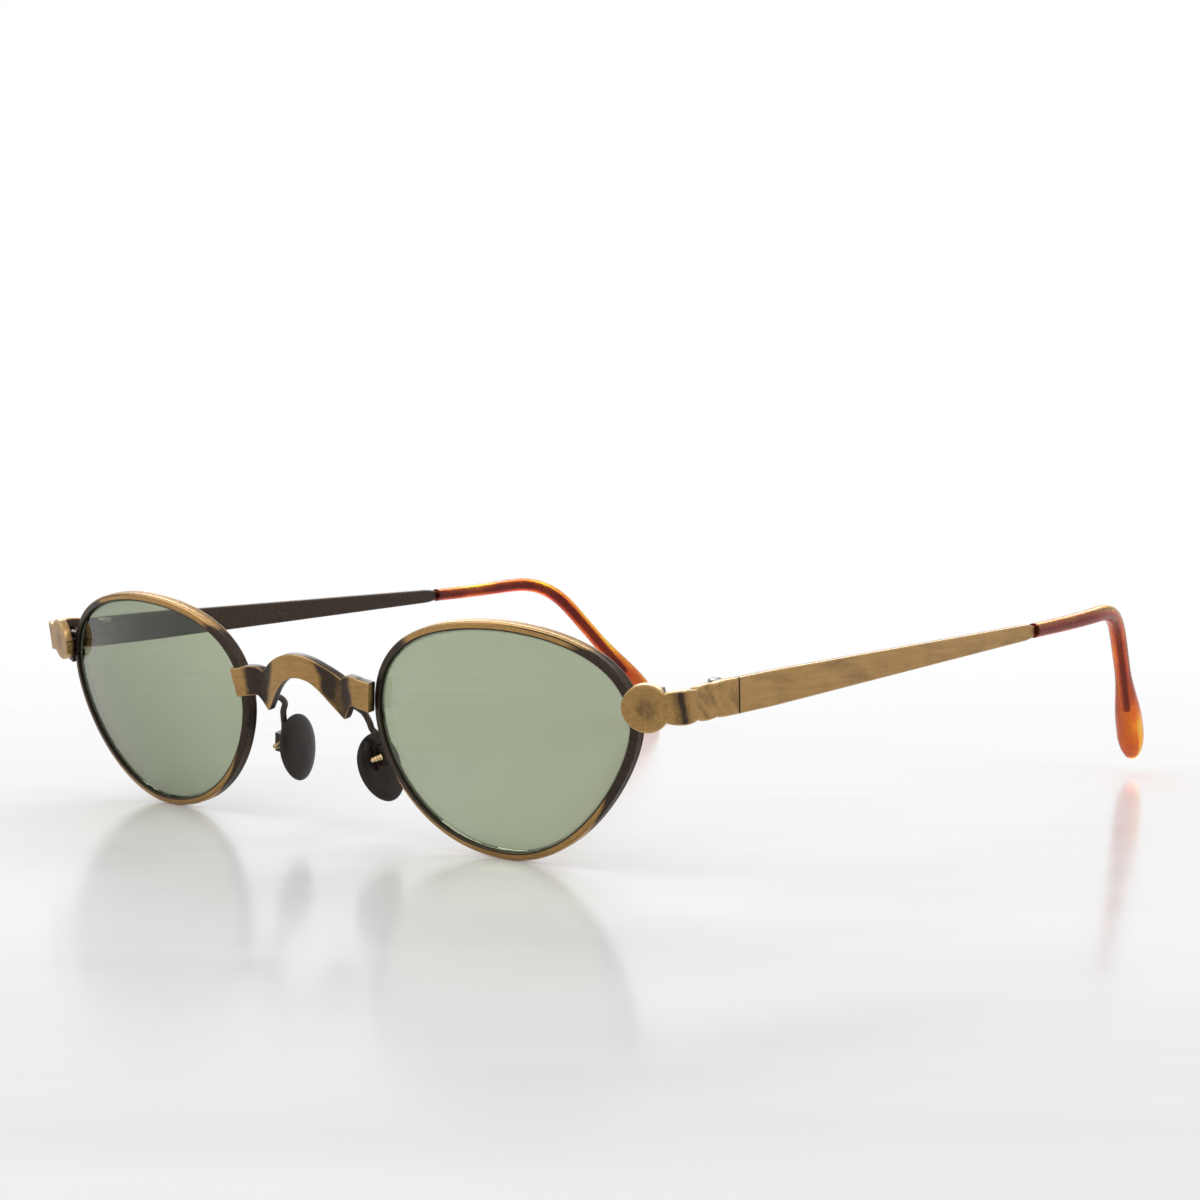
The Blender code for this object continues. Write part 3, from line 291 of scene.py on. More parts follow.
def finish_side(side, kind, form, mesh_data, place, body, look, sharp=35.0):
    """One of a left and right pair of pieces, which stands for its kind's solid on that side."""
    node = f"{kind}_{side_name(side)}"
    finish_piece(f"{node}_{form}", mesh_data, place, body, [node], look, sharp)


def loft(rings, marks):
    """A closed body through rings of points; marks gives each point a patina value and a wear value. The
    patina value also holds painted shade on the rims' inner lips and the lens edges, and a painted dark
    reflection on the end pieces' bend; the wear value holds rubbed wear with a painted highlight on brass
    edges, and on the tips a yellow that is painted light along their top.
    """
    made = bmesh.new()
    layers = [made.verts.layers.float.new(label) for label in ("patina", "wear_and_highlight")]
    grid = []
    for ring, values in zip(rings, marks, strict=True):
        row = []
        for point, pair in zip(ring, values, strict=True):
            vertex = made.verts.new(point)
            for layer, value in zip(layers, pair):
                vertex[layer] = value
            row.append(vertex)
        grid.append(row)
    for ring, following in zip(grid, grid[1:]):
        for index in range(len(ring)):
            after = (index + 1) % len(ring)
            made.faces.new((ring[index], ring[after], following[after], following[index]))
    made.faces.new(grid[0])
    made.faces.new(grid[-1])
    return made


def arc(centre, radius, start, end, steps):
    """Points on an arc, angles in degrees."""
    points = []
    for index in range(steps + 1):
        angle = math.radians(start + (end - start) * index / steps)
        points.append((centre[0] + radius * math.cos(angle), centre[1] + radius * math.sin(angle)))
    return points


def zoned(points, zone):
    """The same points, each with the name of the zone that it lies in."""
    return [(first, second, zone) for first, second in points]


def plate_section(height, edge, thickness, shares):
    """Once round a plate's section: (distance from its top, back, zone) points, with rounded edges."""
    corner = arc((edge, edge), edge, 180, 270, 4)[::-1]
    points = [(share * height, 0.0, "face") for share in shares]
    points += [(height - out, back, "edge") for out, back in corner]
    points += [(height - out, thickness - back, "rear") for out, back in reversed(corner)]
    points += [(share * height, thickness, "back") for share in reversed(shares)]
    points += [(out, thickness - back, "rear") for out, back in corner]
    points += [(out, back, "edge") for out, back in reversed(corner)]
    return points


# Lens outline and front surface

def outline_points(steps=120):
    """The lens outline seen from the front, clockwise from its top, as fine (u, v) points."""
    top = Vector((LENS_TOP_AT, LENS_TOP))
    temporal = Vector((LENS_TEMPORAL, LENS_TEMPORAL_AT))
    bottom = Vector((LENS_BOTTOM_AT, -LENS_BOTTOM))
    nasal = Vector((-LENS_NASAL, LENS_NASAL_AT))
    corners = (top, temporal, bottom, nasal, top)
    points = []
    for index, (start_full, end_full) in enumerate(QUARTER_FULLNESS):
        start, end = corners[index], corners[index + 1]
        reach = end - start
        if index % 2 == 0:
            handles = Vector((reach.x * start_full, 0)), Vector((0, -reach.y * end_full))
        else:
            handles = Vector((0, reach.y * start_full)), Vector((-reach.x * end_full, 0))
        curve = interpolate_bezier(start, start + handles[0], end + handles[1], end, steps + 1)
        points.extend(point.to_2d() for point in curve[:-1])
    return points


OUTLINE = outline_points()
OUTLINE_STEPS = [(OUTLINE[(i + 1) % len(OUTLINE)] - OUTLINE[i]).length for i in range(len(OUTLINE))]
OUTLINE_LENGTH = sum(OUTLINE_STEPS)


def outline_at(distance):
    """The outline's point and outward direction, at a distance along it from its top."""
    distance %= OUTLINE_LENGTH
    index = 0
    while distance > OUTLINE_STEPS[index]:
        distance -= OUTLINE_STEPS[index]
        index += 1
    count = len(OUTLINE)
    here, after = OUTLINE[index], OUTLINE[(index + 1) % count]
    share = distance / OUTLINE_STEPS[index]
    before, beyond = OUTLINE[index - 1], OUTLINE[(index + 2) % count]
    along = (after - before).normalized().lerp((beyond - here).normalized(), share).normalized()
    return here.lerp(after, share), Vector((-along.y, along.x))


def lock_distance():
    """The distance along the outline at which the rim is split, on its temporal side."""
    passed = 0.0
    for index, step in enumerate(OUTLINE_STEPS):
        if OUTLINE[index].x > 0 and OUTLINE[index + 1].y < LOCK_HEIGHT:
            return passed
        passed += step
    return passed


def on_front(point, depth):
    """A point of the left lens's plane, set on the curved front and moved back by a depth."""
    u, v = point
    sag = (u * u + v * v) / (2 * LENS_RADIUS) + depth
    cos, sin = math.cos(WRAP_ANGLE), math.sin(WRAP_ANGLE)
    return Vector((LENS_SPACING / 2 + u * cos - sag * sin, u * sin + sag * cos, v))


def groove_centre():
    return LENS_SET_BACK + LENS_THICKNESS / 2


# Rims

# The fine line between the rim's face and its edge: points past the face's end, and how far back they lie
EDGE_LINE = ((-0.07 * MM, -0.015 * MM), (-0.01 * MM, 0.01 * MM), (0.04 * MM, 0.04 * MM))


def rim_section():
    """The rim's fine section: (outward, back, zone) points, from the inner lip over the face and round."""
    lip, crown = 0.12 * MM, 0.02 * MM
    line_depth, line_half = 0.045 * MM, 0.09 * MM
    groove = groove_centre()
    half_groove = GROOVE_DEPTH * BEVEL_SLOPE
    face_end = RIM_FACE - RIM_SHOULDER
    wall_end = RIM_DEPTH - RIM_BACK_ROUND
    points = zoned(arc((lip, lip), lip, 180, 270, 4), "lip")
    for share in (0.06, 0.12, 0.16, 0.28, 0.4, 0.52, 0.64, 0.76, 0.84):
        points.append((lip + (face_end - lip) * share, -crown * share, "lip" if share <= 0.12 else "face"))
    points += [(face_end + out, back, "line") for out, back in EDGE_LINE]
    points += zoned(arc((face_end, RIM_SHOULDER), RIM_SHOULDER, -72, 0, 6), "edge")
    for share in (0.30, 0.62):
        middle = RIM_SHOULDER + (wall_end - RIM_SHOULDER) * share
        points += [(RIM_FACE, middle - line_half, "wall"), (RIM_FACE - line_depth, middle, "line"),
                   (RIM_FACE, middle + line_half, "wall")]
    points += zoned(arc((RIM_FACE - RIM_BACK_ROUND, wall_end), RIM_BACK_ROUND, 0, 90, 6), "back")
    points += zoned(((0.0, RIM_DEPTH), (0.0, groove + half_groove), (GROOVE_DEPTH, groove),
                     (0.0, groove - half_groove)), "inner")
    return points


# Where each rim's brass starts and ends, in degrees round the lens from its temporal side, against the
# distance across the section in millimetres: over the face, round its edge and back along the wall.
TOP_START = {LEFT: ((0.2, 43), (0.8, 41), (1.3, 37), (2.4, 34)),
             RIGHT: ((0.2, 52), (0.8, 49), (1.3, 20), (2.4, 20))}
TOP_END = {LEFT: ((0.2, 141), (0.8, 139), (1.3, 138), (2.4, 137)),
           RIGHT: ((0.2, 141), (0.8, 139), (1.3, 145), (2.4, 147))}
BOTTOM_START = {LEFT: ((0.2, 262), (0.35, 240), (0.45, 226), (0.6, 208), (0.8, 201), (2.4, 197)),
                RIGHT: ((0.2, 198), (0.8, 214), (1.3, 231), (2.4, 238))}
BOTTOM_END = {LEFT: ((0.2, 337), (0.8, 331), (1.3, 322), (2.0, 316), (2.4, 314)),
              RIGHT: ((0.15, 260), (0.3, 291), (0.45, 309), (0.6, 330), (0.68, 340), (0.75, 371),
                      (2.4, 373))}


def rim_patina(point, across, zone, side):
    """How dark and how worn the rim is: bright above and below, dark at both sides. The inner lip and the
    groove are painted dark as painted shade, the wall is painted a little lighter on the temporal side as a
    painted highlight, and the wear on the face's edge is rubbed wear with a painted highlight.
    """
    angle = math.degrees(math.atan2(point.y, point.x)) % 360
    angle += 3.0 * noise.noise(Vector((angle * 0.09, side * 3.1, across * 0.4)))
    bright = between(angle, along_steps(across, TOP_START[side]), along_steps(across, TOP_END[side]), 9.0)
    start, end = along_steps(across, BOTTOM_START[side]), along_steps(across, BOTTOM_END[side])
    bright = max(bright, between(angle, start, end, 10.0), between(angle + 360, start, end, 10.0))
    streak = 0.16 * noise.noise(Vector((angle * 0.22, across * 2.2, side * 1.7)))
    dark = 1.0 - bright + max(streak, 0.0)
    # Towards the temporal side the wall is painted a little lighter: a painted highlight
    temporal = between((angle + 180) % 360, 144.0, 216.0, 20.0)
    # The inner lip and the groove are painted fully dark: painted shade
    if zone in ("lip", "inner"):
        return 1.0, 0.0
    if zone == "line":
        fine = 0.3 + 0.7 * smooth((95.0 - angle) / 45.0) if 20.0 < angle < 150.0 else 0.4
        return max(dark, fine), 0.0
    if zone == "back":
        return max(dark, 0.7), 0.0
    if zone == "wall":
        return dark * (1.0 - 0.16 * temporal), 0.0
    # The face's edge is worn where the brass is bright: rubbed wear that also paints a highlight along it
    return dark, 0.45 * bright if zone == "edge" else 0.0


def make_rim(side, front, look):
    start = lock_distance() + RIM_SPLIT / 2
    span = OUTLINE_LENGTH - RIM_SPLIT
    section = rim_section()
    reach = [0.0]
    for (out, back, _), (next_out, next_back, _) in zip(section, section[1:]):
        reach.append(reach[-1] + math.hypot(next_out - out, next_back - back) / MM)
    rings, marks = [], []
    for index in range(RIM_STATIONS + 1):
        point, outward = outline_at(start + span * index / RIM_STATIONS)
        rings.append([on_front(point + outward * out, back) for out, back, _ in section])
        marks.append([rim_patina(point, across, zone, side)
                      for across, (_, _, zone) in zip(reach, section)])
    finish_side(side, "rim", "band", loft(rings, marks), front @ mirror(side), "front", look)


# Lenses

def lens_ring(out, depth, share=1.0):
    ring = []
    for index in range(LENS_STATIONS):
        point, outward = outline_at(OUTLINE_LENGTH * index / LENS_STATIONS)
        ring.append(on_front((point + outward * out) * share, depth))
    return ring


def make_lens(side, front, look):
    """A curved lens with a polished bevel that sits in the rim's groove."""
    groove = groove_centre()
    edge, face, back = -LENS_EDGE_GAP, LENS_SET_BACK, LENS_SET_BACK + LENS_THICKNESS
    break_edge = 0.06 * MM
    half_bevel = (LENS_BEVEL + LENS_EDGE_GAP) * BEVEL_SLOPE
    shares = (0.06, 0.2, 0.35, 0.5, 0.65, 0.8, 0.92, 0.98)
    rings = [lens_ring(edge, face, share) for share in shares]
    rings += [lens_ring(edge - break_edge, face), lens_ring(edge, face + break_edge)]
    rings += [lens_ring(edge, groove - half_bevel), lens_ring(LENS_BEVEL, groove)]
    rings += [lens_ring(edge, groove + half_bevel), lens_ring(edge, back - break_edge)]
    rings += [lens_ring(edge - break_edge, back)]
    rings += [lens_ring(edge, back, share) for share in reversed(shares)]
    faces = len(shares)
    # The bevel rings are marked, so that the glass paints the lens edge dark: painted shade
    marks = [[(1.0 if faces <= index < len(rings) - faces else 0.0, 0.0)] * LENS_STATIONS
             for index in range(len(rings))]
    finish_side(side, "lens", "glass", loft(rings, marks), front @ mirror(side), "front",
                look, 28.0)


# Bridge

def bridge_face(x):
    """How far back the bridge's front face lies: proud in the middle, sunk at the notches."""
    rim_front = on_front(Vector((-LENS_NASAL, TAB_BOTTOM)), 0.0).y
    tab = rim_front - SEAT_GAP - BRIDGE_THICKNESS
    valley = BRIDGE_VALLEY * math.exp(-((abs(x) - NOTCH_X) / BRIDGE_VALLEY_WIDTH) ** 2)
    crown = BRIDGE_CROWN * math.exp(-(x / BRIDGE_CROWN_WIDTH) ** 2)
    return tab + valley - crown


def bridge_half():
    """Pairs of (x, z) points on the upper and lower outlines, from the middle to the tab's end."""
    tab_end = LENS_SPACING / 2 - LENS_NASAL
    fine = 3

    def curve(points, count):
        steps = (count - 1) * fine + 1
        return [Vector((p.x, p.y)) for p in interpolate_bezier(*[Vector(q) for q in points], steps)]

    def arch(top, end_x, end_z, handles):
        near, far = handles
        middle = end_z + (top - end_z) * ARCH_FALL_HANDLE
        return curve(((0, top), (end_x * near, top), (end_x * far, middle), (end_x, end_z)), 11)

    upper = arch(ARCH_TOP, NOTCH_X, NOTCH_TOP, ARCH_TOP_HANDLES)
    lower = arch(ARCH_UNDER, POINT_X, POINT_BOTTOM, ARCH_UNDER_HANDLES)
    near, far = BUMP_HANDLES
    bump = TAB_X - NOTCH_X
    upper += curve(((NOTCH_X, NOTCH_TOP), (NOTCH_X + bump * near, BUMP_TOP),
                    (NOTCH_X + bump * far, BUMP_TOP), (TAB_X, TAB_TOP)), 11)[1:]
    hollow_x = POINT_X + (TAB_X - POINT_X) * HOLLOW_AT
    hollow_z = TAB_BOTTOM + HOLLOW_RISE
    step = (hollow_x - POINT_X) * HOLLOW_HANDLE
    half = step / 2
    lower += curve(((POINT_X, POINT_BOTTOM), (POINT_X + half, POINT_BOTTOM - half),
                    (hollow_x - 3 * half, hollow_z - 3 * half), (hollow_x, hollow_z)), 7)[1:]
    lower += curve(((hollow_x, hollow_z), (hollow_x + half, hollow_z + half),
                    (TAB_X - step, TAB_BOTTOM), (TAB_X, TAB_BOTTOM)), 5)[1:]
    upper.append(Vector((tab_end - SEAT_GAP, TAB_TOP - TAB_END_DROP)))
    lower.append(Vector((tab_end - SEAT_GAP - TAB_END_SLANT, TAB_BOTTOM - TAB_END_DROP)))
    return list(zip(upper, lower))


# The bridge's dark patches in millimetres from its middle; the left one's start goes by (height, distance)
LEFT_PATCH_START = ((0.0, 7.1), (1.5, 6.5), (2.9, 5.5), (4.6, 4.4), (6.3, 4.6), (8.6, 3.1), (9.3, 1.6))
LEFT_PATCH_END = 9.8
RIGHT_PATCH_START = 5.4
RIGHT_PATCH_END = 10.95
PATCH_SOFT = 1.7


def bridge_patina(x, z):
    """Dark round each notch, soft and thin in places, and bright on the arch and the tabs."""
    across, height = x / MM, z / MM
    wobble = 0.3 * noise.noise(Vector((x * 900, z * 900, 1.7)))
    if across > 0:
        start = along_steps(height, LEFT_PATCH_START)
        dark = between(across + wobble, start, LEFT_PATCH_END, PATCH_SOFT)
        dark *= 0.88 + 0.3 * noise.noise(Vector((x * 500, z * 500, 5.1)))
        edge = (across - 5.6) - (height - 1.3) * 0.35
        if height < 2.2:
            dark *= smooth(0.5 + edge * 1.4)
    else:
        place = -across + wobble
        dark = between(place, RIGHT_PATCH_START + 0.43 * (6.4 - height), RIGHT_PATCH_END, PATCH_SOFT)
        if height < 2.0:
            dark *= smooth(1.0 - (2.0 - height) * 0.6)
    return dark


def make_bridge(front, look):
    """The plate, with rounded edges and several rows of points across its face."""
    half = bridge_half()
    halves = [(Vector((-a.x, a.y)), Vector((-b.x, b.y))) for a, b in reversed(half[1:])] + half
    shares = (0.04, 0.12, 0.25, 0.4, 0.6, 0.75, 0.88, 0.96)
    bright_to, dark_from = 0.1 * MM, 0.18 * MM
    rings, marks = [], []
    for top, bottom in halves:
        height = (bottom - top).length
        down = (bottom - top) / height
        ring, mark = [], []
        for distance, back, zone in plate_section(height, PLATE_EDGE, BRIDGE_THICKNESS, shares):
            spot = top + down * distance
            ring.append(Vector((spot.x, bridge_face(spot.x) + back, spot.y)))
            dark = 1.0 if zone == "back" else bridge_patina(spot.x, spot.y)
            # On the edges the patina is lifted at the front and the front edge is worn: rubbed wear with a
            # painted highlight
            if zone in ("edge", "rear"):
                dark = max(dark * 0.55, smooth(back / dark_from))
            mark.append((dark, 0.7 if zone == "edge" and back < bright_to else 0.0))
        rings.append(ring)
        marks.append(mark)
    finish_piece("bridge_plate", loft(rings, marks), front, "front", ["bridge"], look, 42.0)


# End pieces

def disc_centre(side):
    """The middle of the disc's front face, which stands in front of the rim on the lock blocks."""
    disc_x = LENS_SPACING / 2 + DISC_REACH
    rim_edge = on_front(Vector((LENS_TEMPORAL, DISC_Z)), 0.0)
    lean = math.tan(DISC_TURN) * (disc_x - rim_edge.x)
    clear = (STRIP_THICKNESS + DISC_STANDOFF) / math.cos(DISC_TURN)
    return Vector((disc_x, rim_edge.y + lean - clear, DISC_Z - side * END_PIECE_SKEW))


def corner_angle():
    return math.pi / 2 - TEMPLE_SPLAY - DISC_TURN


def strip_length():
    return CORNER_START + CORNER_RADIUS * corner_angle() + STRIP_STRAIGHT


def strip_point(distance, side):
    """The strip's outer face at a distance from the disc's middle: place and heading, seen from above."""
    centre = disc_centre(side)
    straight = min(distance, CORNER_START)
    x = centre.x + straight * math.cos(DISC_TURN)
    y = centre.y + straight * math.sin(DISC_TURN)
    turn = min(max(distance - CORNER_START, 0.0) / CORNER_RADIUS, corner_angle())
    heading = DISC_TURN + turn
    x += CORNER_RADIUS * (math.sin(heading) - math.sin(DISC_TURN))
    y += CORNER_RADIUS * (math.cos(DISC_TURN) - math.cos(heading))
    beyond = max(distance - CORNER_START - CORNER_RADIUS * corner_angle(), 0.0)
    return Vector((x + beyond * math.cos(heading), y + beyond * math.sin(heading), 0.0)), heading


def strip_frame(distance, side):
    """Place, outward direction and up direction of the strip in the front frame, as if on the left."""
    point, heading = strip_point(distance, side)
    start = strip_point(CORNER_START, side)[0].y
    end = strip_point(strip_length(), side)[0].y
    share = max(point.y - start, 0.0) / (end - start)
    full_lean = PANTOSCOPIC_ANGLE - side * TEMPLE_TWIST
    turned_down = math.tan(full_lean) * (end - start) * share * share / 2
    stepped_down = (STRIP_DROP - side * STRIP_DROP_SKEW) * smooth(share)
    point.z = disc_centre(side).z - turned_down - stepped_down
    lean = full_lean * smooth((distance - CORNER_START) / (strip_length() - CORNER_START))
    outward = Vector((math.sin(heading), -math.cos(heading), 0.0))
    up = Vector((0.0, math.sin(lean), math.cos(lean)))
    return point, outward, up


def end_piece_outline():
    """(distance, half height) pairs: the disc's round, then scallops, then level to the hinge."""
    first, last = math.radians(3), math.pi - math.asin(SCALLOPS[0][1] / DISC_RADIUS)
    count, steps, level = 44, 26, 12
    pairs = []
    for index in range(count + 1):
        angle = first + (last - first) * index / count
        pairs.append((-DISC_RADIUS * math.cos(angle), DISC_RADIUS * math.sin(angle)))
    pairs[-1] = (SCALLOPS[0][0], SCALLOPS[0][1])
    for (start, low, top), (end, next_low, _) in zip(SCALLOPS, SCALLOPS[1:]):
        middle, half = (start + end) / 2, (end - start) / 2
        for index in range(1, steps + 1):
            angle = math.pi * index / steps
            base = low if angle < math.pi / 2 else next_low
            pairs.append((middle - half * math.cos(angle), base + (top - base) * math.sin(angle)))
    start, low, top = SCALLOPS[-1]
    half = (start - SCALLOPS[-2][0]) / 2
    for index in range(1, steps // 2 + 1):
        angle = math.pi * index / steps
        pairs.append((start + half * (1 - math.cos(angle)), low + (top - low) * math.sin(angle)))
    start, end = pairs[-1][0], strip_length()
    for index in range(1, level + 1):
        pairs.append((start + (end - start) * index / level, STRIP_HALF_HEIGHT))
    return pairs


# The end piece's marks, in millimetres from the disc's middle
# The band of patina and painted dark reflection on the bend: its middle and half width
PATINA_REFLECTION_BAND_AT = 4.85
PATINA_REFLECTION_BAND_HALF = 0.5
BLOTCH_RADIUS = 2.1
BLOTCH_SOFT = 1.5
STREAKS_FROM = 7.0
STREAKS_TO = 17.5


def strip_patina(distance, height):
    """A dark band where the strip bends, with soft dusk round it, which is patina with a painted dark
    reflection on it; a dusky blotch on the disc and dusk towards the hinge.
    """
    across, up = distance / MM, height / MM
    ragged = 0.16 * noise.noise(Vector((distance * 300, height * 1300, 4.0)))
    # The band and the dusk round it are patina with a painted dark reflection
    middle = PATINA_REFLECTION_BAND_AT - 0.08 * up + ragged
    band = between(across, middle - PATINA_REFLECTION_BAND_HALF, middle + PATINA_REFLECTION_BAND_HALF, 0.9)
    patina_reflection_dusk = between(across, middle - 1.3, middle + 1.0, 1.2)
    speckle = noise.noise(Vector((distance * 2600, height * 2600, 0.9)))
    cloud = noise.noise(Vector((distance * 700, height * 700, 0.3)))
    blotch = math.hypot(across + 0.1 + 0.3 * min(up, 0.0), up - 0.15) + 0.7 * cloud
    disc = 0.6 * smooth((BLOTCH_RADIUS - blotch) / BLOTCH_SOFT) * (0.8 + 0.5 * speckle)
    streak = noise.noise(Vector(((across + up) * 0.9, (across - up) * 0.16, 2.2)))
    later = 0.42 * between(across, STREAKS_FROM, STREAKS_TO, 2.0) * smooth(0.35 + streak * 1.6)
    return min(1.0, max(0.95 * band, (0.42 + 0.3 * speckle) * patina_reflection_dusk, disc, later, 0.1 + 0.12 * cloud))


def make_end_piece(side, front, look):
    shares = (0.06, 0.16, 0.3, 0.42, 0.5, 0.58, 0.7, 0.84, 0.94)
    rings, marks = [], []
    for distance, half in end_piece_outline():
        point, outward, up = strip_frame(distance, side)
        ring, mark = [], []
        for down, back, zone in plate_section(2 * half, min(PLATE_EDGE, half / 2), STRIP_THICKNESS, shares):
            height = half - down
            ring.append(point - outward * back + up * height)
            dark = {"back": 1.0, "rear": 0.35}.get(zone, strip_patina(distance, height))
            # The edges are lighter and worn: rubbed wear with a painted highlight
            mark.append((0.45 * dark, 0.8) if zone == "edge" else (dark, 0.0))
        rings.append(ring)
        marks.append(mark)
    finish_side(side, "end_piece", "strip", loft(rings, marks), front @ mirror(side), "front",
                look, 40.0)


# Temples and tips

def tip_frames(count, length):
    """Places, outward and up directions along the tip, from the blade's end, in the temple frame."""
    fine = 240 // count + 1
    point = Vector((0.0, 0.0, 0.0))
    frames = []
    steps = count * fine
    for index in range(steps + 1):
        distance = length * index / steps
        toe = TOE_IN_ANGLE * smooth((distance - TOE_IN_START) / TOE_IN_LENGTH)
        droop = TIP_DROOP_ANGLE * smooth((distance - TIP_DROOP_START) / (TIP_LENGTH - TIP_DROOP_START))
        rise = TIP_RISE_ANGLE * smooth(distance / EAR_BEND_START)
        dip = EAR_BEND_ANGLE * smooth((distance - EAR_BEND_START) / EAR_BEND_LENGTH) + droop - rise
        level = math.cos(dip)
        heading = Vector((-math.sin(toe) * level, math.cos(toe) * level, -math.sin(dip)))
        outward = Vector((math.cos(toe), math.sin(toe), 0.0))
        if index % fine == 0:
            frames.append((point.copy(), outward, outward.cross(heading), distance))
        point += heading * (length / steps)
    return frames


def oval(point, outward, up, width, height, count, squareness=1.0):
    """An oval ring of points; squareness under 1 fills its corners."""
    ring = []
    for index in range(count):
        angle = 2 * math.pi * index / count
        a, b = math.cos(angle), math.sin(angle)
        a = math.copysign(abs(a) ** squareness, a)
        b = math.copysign(abs(b) ** squareness, b)
        ring.append(point + outward * (a * width / 2) + up * (b * height / 2))
    return ring


def tip_start():
    """Where the tip's middle line starts, in the temple frame."""
    return Vector((HINGE_INSET + STRIP_THICKNESS - CORE_WIDTH / 2, HINGE_SETBACK + BLADE_LENGTH, 0.0))


def blade_profile():
    """(distance from the axis, height, thickness) slices, from the joint to the neck."""
    start = HINGE_SETBACK + SWING_GAP
    end = HINGE_SETBACK + BLADE_LENGTH
    full = 2 * STRIP_HALF_HEIGHT
    taper_start = start + BLADE_PARALLEL
    neck = end - NECK_LENGTH
    break_edge = 0.06 * MM
    slices = [(start, full - 2 * break_edge, STRIP_THICKNESS - break_edge)]
    slices += [(start + step * MM, full, STRIP_THICKNESS) for step in (0.08, 0.16, 0.2)]
    for index in range(1, 11):
        slices.append((start + BLADE_PARALLEL * index / 10, full, STRIP_THICKNESS))
    for index in range(1, 91):
        share = index / 90
        slices.append((taper_start + (neck - taper_start) * share,
                       full + (BLADE_END_HEIGHT - full) * share, STRIP_THICKNESS))
    for index in range(1, 17):
        share = index / 16
        round_off = 1 - math.sqrt(1 - share * share)
        slices.append((neck + NECK_LENGTH * 0.9 * share,
                       BLADE_END_HEIGHT + (CORE_HEIGHT - BLADE_END_HEIGHT) * round_off,
                       STRIP_THICKNESS + (CORE_WIDTH - STRIP_THICKNESS) * round_off))
    return slices


def blade_section(height, thickness):
    """(distance inwards, height, zone) points: a flat outer face with small rounds and a rounder inner."""
    half = height / 2
    edge = min(0.15 * MM, half / 2)
    soft = min(BLADE_INNER_EDGE, half / 2, thickness / 2)
    outer = arc((edge, edge), edge, 180, 270, 3)
    inner = arc((thickness - soft, soft), soft, 270, 360, 5)
    points = [(0.0, half - edge - (height - 2 * edge) * share, "face")
              for share in (0.02, 0.15, 0.3, 0.5, 0.7, 0.85, 0.98)]
    points += [(out, back - half, "edge") for out, back in outer]
    points += [(out, back - half, "edge" if back == 0 else "inner") for out, back in inner]
    points += [(out, half - back, "inner") for out, back in reversed(inner)]
    points += [(out, half - back, "edge") for out, back in reversed(outer)]
    return points


def make_temple(side, place, look):
    """The blade, its neck and the core wire that runs on inside the tip."""
    outer = HINGE_INSET + STRIP_THICKNESS
    start_of_brass = HINGE_SETBACK + SWING_GAP + 0.18 * MM
    end_of_brass = HINGE_SETBACK + BLADE_LENGTH - 0.1 * NECK_LENGTH - 0.15 * MM
    rings, marks = [], []
    for distance, height, thickness in blade_profile():
        ring, mark = [], []
        for inwards, z, zone in blade_section(height, thickness):
            ring.append(Vector((outer - inwards, distance, z)))
            pit = noise.noise(Vector((z * 420, distance * 130, side * 2.0)))
            dark = {"face": 0.2 * smooth(pit * 2.0), "edge": 0.08, "inner": 1.0}[zone]
            if not start_of_brass <= distance <= end_of_brass:
                dark = 1.0
            # The edges are worn: rubbed wear with a painted highlight
            mark.append((dark, 0.7 if zone == "edge" else 0.0))
        rings.append(ring)
        marks.append(mark)
    count = len(rings[0])
    for point, outward, up, _ in tip_frames(CORE_STATIONS, CORE_LENGTH):
        ring = []
        for inwards, z, _ in blade_section(CORE_HEIGHT, CORE_WIDTH):
            ring.append(point + tip_start() + outward * (CORE_WIDTH / 2 - inwards) + up * z)
        rings.append(ring)
        marks.append([(1.0, 0.0)] * count)
    finish_side(side, "temple", "blade", loft(rings, marks), place @ mirror(side),
                f"temple_{side_name(side)}", look, 40.0)


def sleeve_size(distance):
    """The tip's width and height at a distance along it: slim, then a flattened paddle, rounded off."""
    swell = smooth(distance / (EAR_BEND_START + EAR_BEND_LENGTH))
    flare = smooth((distance - PADDLE_START) / (PADDLE_FULL - PADDLE_START))
    width = SLEEVE_WIDTH + (BEND_THICKNESS - SLEEVE_WIDTH) * swell + (PADDLE_WIDTH - BEND_THICKNESS) * flare
    height = SLEEVE_HEIGHT + (BEND_THICKNESS - SLEEVE_HEIGHT) * swell
    height += (PADDLE_HEIGHT - BEND_THICKNESS) * flare
    left = TIP_LENGTH - distance
    if left < PADDLE_ROUNDING:
        share = 1 - left / PADDLE_ROUNDING
        narrow = math.sqrt(max(1 - share * share, 0.02))
        width, height = width * narrow, height * narrow
    return width, height


def sleeve_distances():
    """Stations along the tip, closer together at its rounded end."""
    body = TIP_LENGTH - PADDLE_ROUNDING
    stations = [body * index / 90 for index in range(91)]
    stations += [body + (TIP_LENGTH - body) * math.sin(math.pi / 2 * index / 16) for index in range(1, 17)]
    return stations


